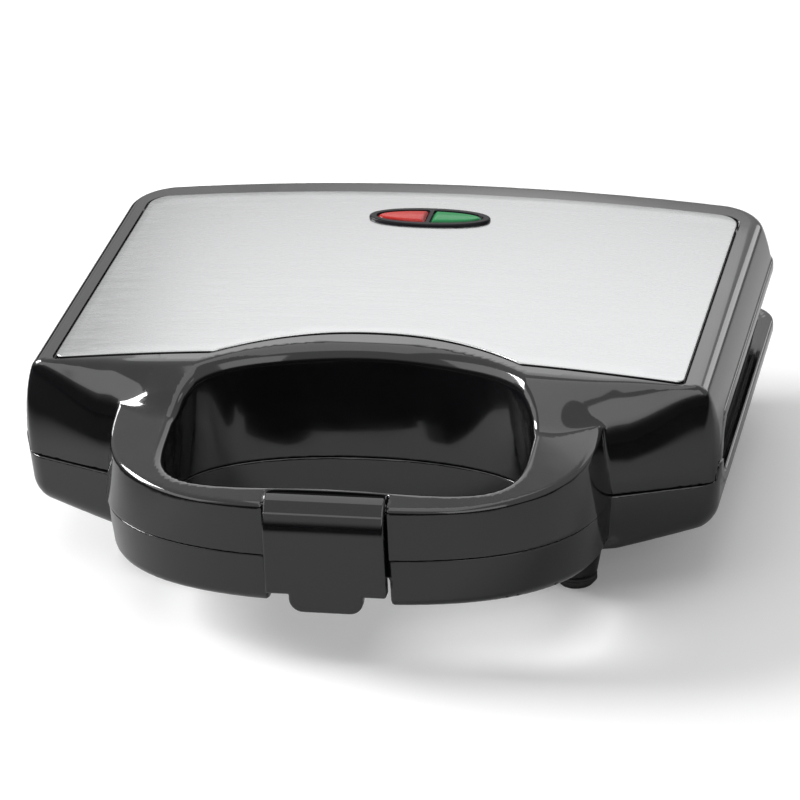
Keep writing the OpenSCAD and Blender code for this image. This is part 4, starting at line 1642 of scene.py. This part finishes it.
@dataclass
class BakingPlate:
    """One baking plate with four drafted pockets, each pair parted by a diagonal ridge."""

    name: str
    node: str
    body: str
    up: int
    place: Pair = (33.05, 44.0)
    half_w: float = 111.0
    half_d: float = 64.0
    corners: Pair = (6.0, 12.0)
    thick: float = 11.0
    edge_r: float = 1.2
    depth: float = 7.5
    draft: float = 0.3
    pocket_mid: float = 7.0
    pocket_w: float = 96.0
    pocket_l: float = 112.0
    pocket_r: float = 9.0
    floor_r: float = 3.2
    mouth_r: float = 0.9
    ridge: float = 5.0
    ridge_r: float = 5.0
    screw_y: float = 20.0
    screw_r: Pair = (1.85, 4.2)
    screw_seat: float = 2.8

    def outline(self, x: Array, y: Array) -> Array:
        """Measure the plate's outline.

        Args:
            x: places across.
            y: places behind the plate's middle.

        Returns:
            Signed distances, negative inside.
        """
        ax = np.abs(x) - self.half_w
        front, back = self.corners
        return np.where(y > 0, round_max(ax, y - self.half_d, back), round_max(ax, -y - self.half_d, front))

    def pocket(self, x: Array, y: Array, z: Array) -> Array:
        """Measure all pockets.

        Args:
            x: places across.
            y: places behind the plate's middle.
            z: heights over the plate's face.

        Returns:
            Signed distances, negative inside.
        """
        a, b = self.pocket_w / 2, self.pocket_l / 2
        c = self.ridge * math.sqrt(2) / 2
        u = np.abs(x) - self.pocket_mid - a
        n = math.hypot(2 * a - c, 2 * b - c)
        sides = []
        for s in (1, -1):
            v, w = u * s, y * s
            cut = ((2 * b - c) * (v + a) - (2 * a - c) * (w + b - c)) / n
            sides.append(round_max(round_max(-v - a, w - b, self.pocket_r), cut, self.ridge_r))
        return round_max(either(*sides) + self.draft * -z, -(z + self.depth), self.floor_r)

    def field(self, x: Array, y: Array, z: Array) -> Array:
        """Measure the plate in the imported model's frame.

        Args:
            x: places across.
            y: places front to back.
            z: places upwards.

        Returns:
            Signed distances, negative inside.
        """
        h = (z - self.place[1]) * self.up
        v = y - self.place[0]
        block = round_max(self.outline(x, v), np.abs(h + self.thick / 2) - self.thick / 2, self.edge_r)
        form = round_max(block, -self.pocket(x, v, h), self.mouth_r)
        shank, head = self.screw_r
        bores = np.hypot(x, np.abs(v) - self.screw_y) - np.where(h > -self.screw_seat, head, shank)
        return round_max(form, -bores, 0.3)

    def build(self) -> Piece:
        """Make the plate, on a grid that is finer where its pockets are.

        Returns:
            The piece.
        """
        y0, z0 = self.place
        face, floor, back = (z0 + d * self.up for d in (0.6, -8.6, -self.thick - 0.6))
        spans = ((back, floor, 1.0), (floor, face, 0.8))
        if self.up < 0:
            spans = ((face, floor, 0.8), (floor, back, 1.0))
        xs = mirrored((0, 10, 0.9), (10, 112.2, 1.25))
        obj = skin(self.name, self.field, xs, y0 + spaced((-65.2, 65.2, 1.25)), spaced(*spans))
        return settle(obj, self.body, Finish.nonstick, self.node)


# ---------------------------------------------------------------- small parts


@dataclass
class Repeats:
    """Small parts that repeat, made with Geometry Nodes and turned into plain meshes; lengths in metres."""

    sides: int = 40
    dome: float = 1.22
    dome_drop: float = 0.00315
    cross: tuple[Triple, Triple] = ((0.0042, 0.0008, 0.0022), (0.0008, 0.0042, 0.0022))
    cross_z: float = 0.0009
    shank_share: float = 0.53
    seat_mm: float = 1.4

    def tree(self, name: str, sizes: dict[str, float]) -> tuple[Wiring, Sockets, Socket]:
        """Start a tree with named sizes.

        Args:
            name: name of the tree.
            sizes: usual value of each size.

        Returns:
            The wiring, what the tree takes by name, and the points that it works on.
        """
        tree = bpy.data.node_groups.new(name, "GeometryNodeTree")
        tree.interface.new_socket("Geometry", in_out="INPUT", socket_type="NodeSocketGeometry")
        for label, value in sizes.items():
            tree.interface.new_socket(label, in_out="INPUT", socket_type=NUMBER).default_value = value
        tree.interface.new_socket("Geometry", in_out="OUTPUT", socket_type="NodeSocketGeometry")
        w = Wiring(tree)
        take = w.node("NodeGroupInput").outputs
        return w, take, w.out("GeometryNodeMeshToPoints", {"Mesh": take["Geometry"]})

    def close(self, w: Wiring, shape: Socket, finish: Finish) -> Tree:
        """End a tree in realised geometry with its material, and give it.

        Args:
            w: the tree's wiring.
            shape: the instances.
            finish: their finish.

        Returns:
            The tree.
        """
        real = w.out("GeometryNodeRealizeInstances", {"Geometry": shape})
        done = w.out("GeometryNodeSetMaterial", {"Geometry": real, "Material": finish.made()})
        return w.give(w.node("NodeGroupOutput"), Geometry=done)

    def bake(self, name: str, tree: Tree, at: Sequence[Triple], sizes: dict[str, float]) -> Piece:
        """Run a tree on points and keep the result as a plain mesh.

        Args:
            name: name of the piece.
            tree: the Geometry Nodes tree.
            at: the points, in millimetres.
            sizes: values of the tree's inputs by name.

        Returns:
            The new object, which has no modifier.
        """
        obj = mesh_from(name, np.array(at, float), [])
        mod = obj.modifiers.new("repeat", "NODES")
        mod.node_group = tree
        for item in tree.interface.items_tree:
            if item.in_out == "INPUT" and item.name in sizes:
                mod[item.identifier] = sizes[item.name]
        apply_all(obj)
        return obj

    def screw_tree(self, finish: Finish) -> Tree:
        """Build the tree that puts a crosshead screw on each point.

        Args:
            finish: the screws' finish.

        Returns:
            The tree.
        """
        sizes = {"Head": 0.0038, "Head height": 0.0023, "Shank": 0.00175, "Length": 0.018, "Facing": 1.0}
        w, take, points = self.tree("crosshead_screws", sizes)
        head = w.out("GeometryNodeMeshCylinder", {
            "Vertices": self.sides, "Radius": take["Head"], "Depth": take["Head height"]})
        dome = w.out("GeometryNodeMeshUVSphere", {
            "Segments": self.sides, "Rings": 16, "Radius": w.product(take["Head"], self.dome)})
        sunk = w.out("GeometryNodeTransform", {"Geometry": dome, "Translation": (0, 0, -self.dome_drop)})
        form = w.node("GeometryNodeMeshBoolean", {"Mesh 2": head}, operation="INTERSECT", solver="EXACT")
        w.fill(form.inputs["Mesh 2"], sunk)
        cut = w.node("GeometryNodeMeshBoolean", {"Mesh 1": form.outputs[0]},
                     operation="DIFFERENCE", solver="EXACT")
        for size in self.cross:
            bar = w.out("GeometryNodeMeshCube", {"Size": size})
            bar = w.out("GeometryNodeTransform", {"Geometry": bar, "Translation": (0, 0, self.cross_z)})
            w.fill(cut.inputs["Mesh 2"], bar)
        shank = w.out("GeometryNodeMeshCylinder", {
            "Vertices": 24, "Radius": take["Shank"], "Depth": take["Length"]})
        drop = w.out("ShaderNodeCombineXYZ", {"Z": w.product(take["Length"], -self.shank_share)})
        low = w.out("GeometryNodeTransform", {"Geometry": shank, "Translation": drop})
        join = w.node("GeometryNodeJoinGeometry", {"Geometry": cut.outputs[0]})
        w.fill(join.inputs[0], low)
        half_turns = w.math("SUBTRACT", 1.0, take["Facing"])
        turn = w.out("ShaderNodeCombineXYZ", {"X": w.product(half_turns, math.pi / 2)})
        placed = w.out("GeometryNodeInstanceOnPoints", {
            "Points": points, "Instance": join.outputs[0], "Rotation": turn})
        return self.close(w, placed, finish)

    def spring_tree(self, finish: Finish) -> Tree:
        """Build the tree that winds a spring, lying across, round each point.

        Args:
            finish: the spring's finish.

        Returns:
            The tree.
        """
        sizes = {"Radius": 0.0022, "Wire": 0.0004, "Turns": 5.0, "Length": 0.0085}
        w, take, points = self.tree("wound_spring", sizes)
        coil = w.out("GeometryNodeCurveSpiral", {
            "Resolution": 28, "Rotations": take["Turns"], "Start Radius": take["Radius"],
            "End Radius": take["Radius"], "Height": take["Length"]})
        ring = w.out("GeometryNodeCurvePrimitiveCircle", {"Resolution": 10, "Radius": take["Wire"]})
        wire = w.out("GeometryNodeCurveToMesh", {"Curve": coil, "Profile Curve": ring, "Fill Caps": True})
        back = w.out("ShaderNodeCombineXYZ", {"Z": w.product(take["Length"], -0.5)})
        mid = w.out("GeometryNodeTransform", {"Geometry": wire, "Translation": back})
        lying = w.out("GeometryNodeTransform", {"Geometry": mid, "Rotation": (0, math.pi / 2, 0)})
        placed = w.out("GeometryNodeInstanceOnPoints", {"Points": points, "Instance": lying})
        return self.close(w, placed, finish)

    def build(self) -> list[Piece]:
        """Make the plate screws and the latch spring.

        Returns:
            The pieces.
        """
        screws = self.screw_tree(Finish.screw_steel)
        y0, z0 = BakingPlate.place
        made = []
        for name, body, node, way in (("screws_low", "base", "lower_plate_screws", 1),
                                      ("screws_high", "lid", "upper_plate_screws", -1)):
            at = [(0, y0 + s * BakingPlate.screw_y, z0 - way * self.seat_mm) for s in (-1, 1)]
            obj = self.bake(name, screws, at, {"Facing": float(way)})
            obj.data.set_sharp_from_angle(angle=math.radians(35))
            made.append(settle(obj, body, Finish.screw_steel, node))
        spring = self.bake("wound_spring", self.spring_tree(Finish.spring_steel), [(0, *Latch.pin)], {})
        made.append(settle(spring, "lid", Finish.spring_steel, "latch_spring"))
        return made


@dataclass
class SmallParts:
    """Turned pieces: the rubber pads and the cord bush, as places and radii of their profiles' corners."""

    pad: tuple[Triple, ...] = (
        (0, 0.35, 0), (4.4, 0.35, 0.2), (4.8, 0.0, 0.2), (5.6, 0.0, 0.5), (6.6, 1.4, 0.6), (7.0, 1.6, 0.3),
        (7.0, 2.5, 0.15), (6.75, 2.7, 0.1), (6.75, 3.0, 0.1), (7.0, 3.2, 0.15), (7.0, 3.9, 0.3),
        (2.5, 3.9, 0.2), (2.5, 9.8, 0.5), (0, 9.8, 0))
    bush: tuple[Triple, ...] = (
        (3.5, -9, 0.4), (6.0, -9, 0.5), (6.0, 0.05, 0.1), (8.0, 0.05, 0.2), (8.0, 1.9, 0.8),
        (5.6, 1.95, 0.4), (5.2, 1.5, 0.2), (4.6, 1.5, 0.2), (4.3, 1.95, 0.3), (3.5, 1.95, 0.35))

    def pads(self) -> list[Piece]:
        """Make a pad under each leg.

        Returns:
            The four pieces.
        """
        made = []
        profile = rounded(self.pad, 3)
        for x, side in ((-T.leg_x, "left"), (T.leg_x, "right")):
            for y, end in zip(T.legs_y, ("front", "rear")):
                obj = lathe(f"leg_pad_{end}_{side}", profile, (x, y, 0), "Z")
                made.append(settle(obj, "base", Finish.pad_rubber, f"pad_{end}_{side}"))
        return made

    def cord_bush(self) -> Piece:
        """Make the rubber bush of the cord's inlet.

        Returns:
            The piece.
        """
        x, z = T.bush
        obj = lathe("cord_bush", rounded(self.bush, 4), (x, T.back, z), "Y")
        return settle(obj, "base", Finish.inlet_rubber, "cord_inlet")

    def build(self) -> list[Piece]:
        """Make all of them."""
        return [*self.pads(), self.cord_bush()]


def dress_inner_parts() -> None:
    """Give the CAD nodes that stay as they are their finish."""
    wanted = {
        Finish.heater_steel: ("lower_heater", "upper_heater"),
        Finish.reflector_sheet: ("lower_reflector", "upper_reflector"),
        Finish.thermostat_body: ("thermostat",),
        Finish.terminal_plastic: ("terminal_block", "lamp_holder", "thermal_fuse"),
        Finish.lamp_glass: ("indicator_lamps",),
        Finish.pin_steel: ("hinge_pin_left", "hinge_pin_right", "latch_pin"),
    }
    for finish, nodes in wanted.items():
        for node in nodes:
            finish.on(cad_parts[node])


# ---------------------------------------------------------------- studio


@dataclass(frozen=True)
class SoftBox:
    """One lamp: its middle, the point it faces, its width and height, and its power, where 1 is white."""

    name: str
    place: Triple
    aim: Triple
    size: Pair
    power: float

    def build(self) -> None:
        """Hang the lamp."""
        data = bpy.data.lights.new(self.name, "AREA")
        data.shape, data.size, data.size_y = "RECTANGLE", *self.size
        data.energy = self.power * self.size[0] * self.size[1] * math.pi
        obj = as_object(self.name, data)
        obj.location = self.place
        obj.rotation_euler = (Vector(self.aim) - Vector(self.place)).to_track_quat("-Z", "Y").to_euler()


@dataclass
class Studio:
    """Camera, floor, world and lamps; lengths in metres."""

    place: Triple = (0.3294, -1.5289, 0.7560)
    right: Triple = (0.97786, 0.20928, 0.0)
    up: Triple = (-0.08685, 0.40582, 0.90983)
    ahead: Triple = (-0.19041, 0.88968, -0.41501)
    roll: float = 0.04618
    lens: Pair = (225.0, 36.0)
    seen: Pair = (0.1, 50.0)
    floor_size: float = 30.0
    floor_tone: float = 0.9
    floor_lift: float = 0.14
    backdrop: Pair = (0.5, 1.6)
    table: Pair = (0.19, 0.3)
    table_front: float = 0.06
    mirrored: Pair = (0.5, 0.03)
    ceiling: Pair = (0.1, 0.3)
    behind: Pair = (-0.1, 0.5)
    room: Pair = (0.03, 0.6)
    room_rear: float = 0.42
    room_fill: float = 0.4
    lamps: tuple[SoftBox, ...] = (
        SoftBox("overhead", (0.0, -0.25, 1.3), (0, -0.1, 0), (1.0, 1.6), 0.9),
        SoftBox("key_left", (-1.3, 0.1, 0.8), (0, 0, 0.02), (0.55, 0.55), 27.0),
        SoftBox("rear", (0.22, 0.66, 0.6), (0.1, 0.05, 0.07), (1.3, 0.5), 0.86),
        SoftBox("rear_right", (0.7, 1.1, 0.3), (0.1, 0, 0.06), (0.45, 0.3), 1.4),
        SoftBox("front_left", (-1.7, -0.95, 1.0), (0, 0, 0.06), (1.5, 1.0), 1.15),
        SoftBox("front_right", (1.25, -1.9, 1.1), (0, 0, 0.06), (1.5, 1.2), 1.1),
    )

    def camera(self) -> None:
        """Make the camera that the photograph was taken with."""
        data = bpy.data.cameras.new("camera")
        data.lens, data.sensor_width = self.lens
        data.clip_start, data.clip_end = self.seen
        cam = as_object("camera", data)
        c, s = math.cos(self.roll), math.sin(self.roll)
        r, u = Vector(self.right), Vector(self.up)
        axes = Matrix((c * r - s * u, s * r + c * u, -Vector(self.ahead))).transposed()
        cam.matrix_world = Matrix.Translation(Vector(self.place)) @ axes.to_4x4()
        bpy.context.scene.camera = cam

    def floor(self) -> None:
        """Make the white floor, which keeps the object's shadow.

        The camera sees it glow further off, where it runs into the white room. Reflections see it darker, and
        darkest in front and on the left beyond a table's edge.
        """
        bpy.ops.mesh.primitive_plane_add(size=self.floor_size)
        obj = bpy.context.object
        obj.name = "floor"
        mat = bpy.data.materials.new("floor")
        mat.use_nodes = True
        w = Wiring(mat.node_tree)
        light = w.node("ShaderNodeLightPath").outputs
        place = w.node("ShaderNodeTexCoord").outputs["Object"]
        past = w.vector("MULTIPLY_ADD", place, (-1, -1, 0), (0, -self.table_front, 0)).outputs[0]
        past = w.vector("LENGTH", w.vector("MAXIMUM", past).outputs[0]).outputs["Value"]
        near, far = self.mirrored
        less = w.band(past, *self.table, self.floor_tone - near, self.floor_tone - far)
        tone = w.math("SUBTRACT", self.floor_tone, w.product(less, light["Is Glossy Ray"]))
        wide = w.vector("LENGTH", place).outputs["Value"]
        glow = w.product(light["Is Camera Ray"], w.band(wide, *self.backdrop, self.floor_lift, 1.0))
        for label, value in {
            "Base Color": w.out("ShaderNodeCombineColor", dict.fromkeys(range(3), tone)), "Roughness": 0.9,
            "Specular IOR Level": 0.0, "Emission Color": (1, 1, 1, 1), "Emission Strength": glow,
        }.items():
            w.fill(mat.node_tree.nodes["Principled BSDF"].inputs[label], value)
        obj.data.materials.append(mat)

    def world(self) -> None:
        """Make a room, pale above and behind and dark in front at eye level, that the camera sees white."""
        world = bpy.data.worlds.new("studio")
        bpy.context.scene.world = world
        world.use_nodes = True
        w = Wiring(world.node_tree)
        light = w.node("ShaderNodeLightPath").outputs
        way = w.node("ShaderNodeSeparateXYZ", {0: w.node("ShaderNodeTexCoord").outputs["Generated"]}).outputs
        level = w.math("MAXIMUM", w.band(way["Z"], *self.ceiling, *self.room),
                       w.band(way["Y"], *self.behind, 0.0, self.room_rear))
        level = w.product(level, w.band(light["Is Diffuse Ray"], 0, 1, 1.0, self.room_fill))
        seen = light["Is Camera Ray"]
        background = world.node_tree.nodes["Background"].inputs
        background["Color"].default_value = (1, 1, 1, 1)
        w.fill(background["Strength"], w.math("ADD", w.product(level, w.math("SUBTRACT", 1.0, seen)), seen))

    def build(self) -> None:
        """Set up everything."""
        self.camera()
        self.floor()
        self.world()
        for lamp in self.lamps:
            lamp.build()
        bpy.context.scene.view_settings.view_transform = "Standard"


def main() -> None:
    """Build every piece and report it."""
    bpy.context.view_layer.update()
    makers = (
        LidShell(), BaseShell(), Inlay(), Lamps(), Latch(),
        BakingPlate("plate_low", "lower_plate", "base", 1, (33.05, 43.85)),
        BakingPlate("plate_high", "upper_plate", "lid", -1, (33.05, 44.15)),
        Repeats(), SmallParts(),
    )
    for maker in makers:
        made = maker.build()
        for obj in made if isinstance(made, list) else [made]:
            log.info("%s: %d triangles", obj.name, sum(len(p.vertices) - 2 for p in obj.data.polygons))
    dress_inner_parts()
    Studio().build()


if __name__ == "__main__":
    main()
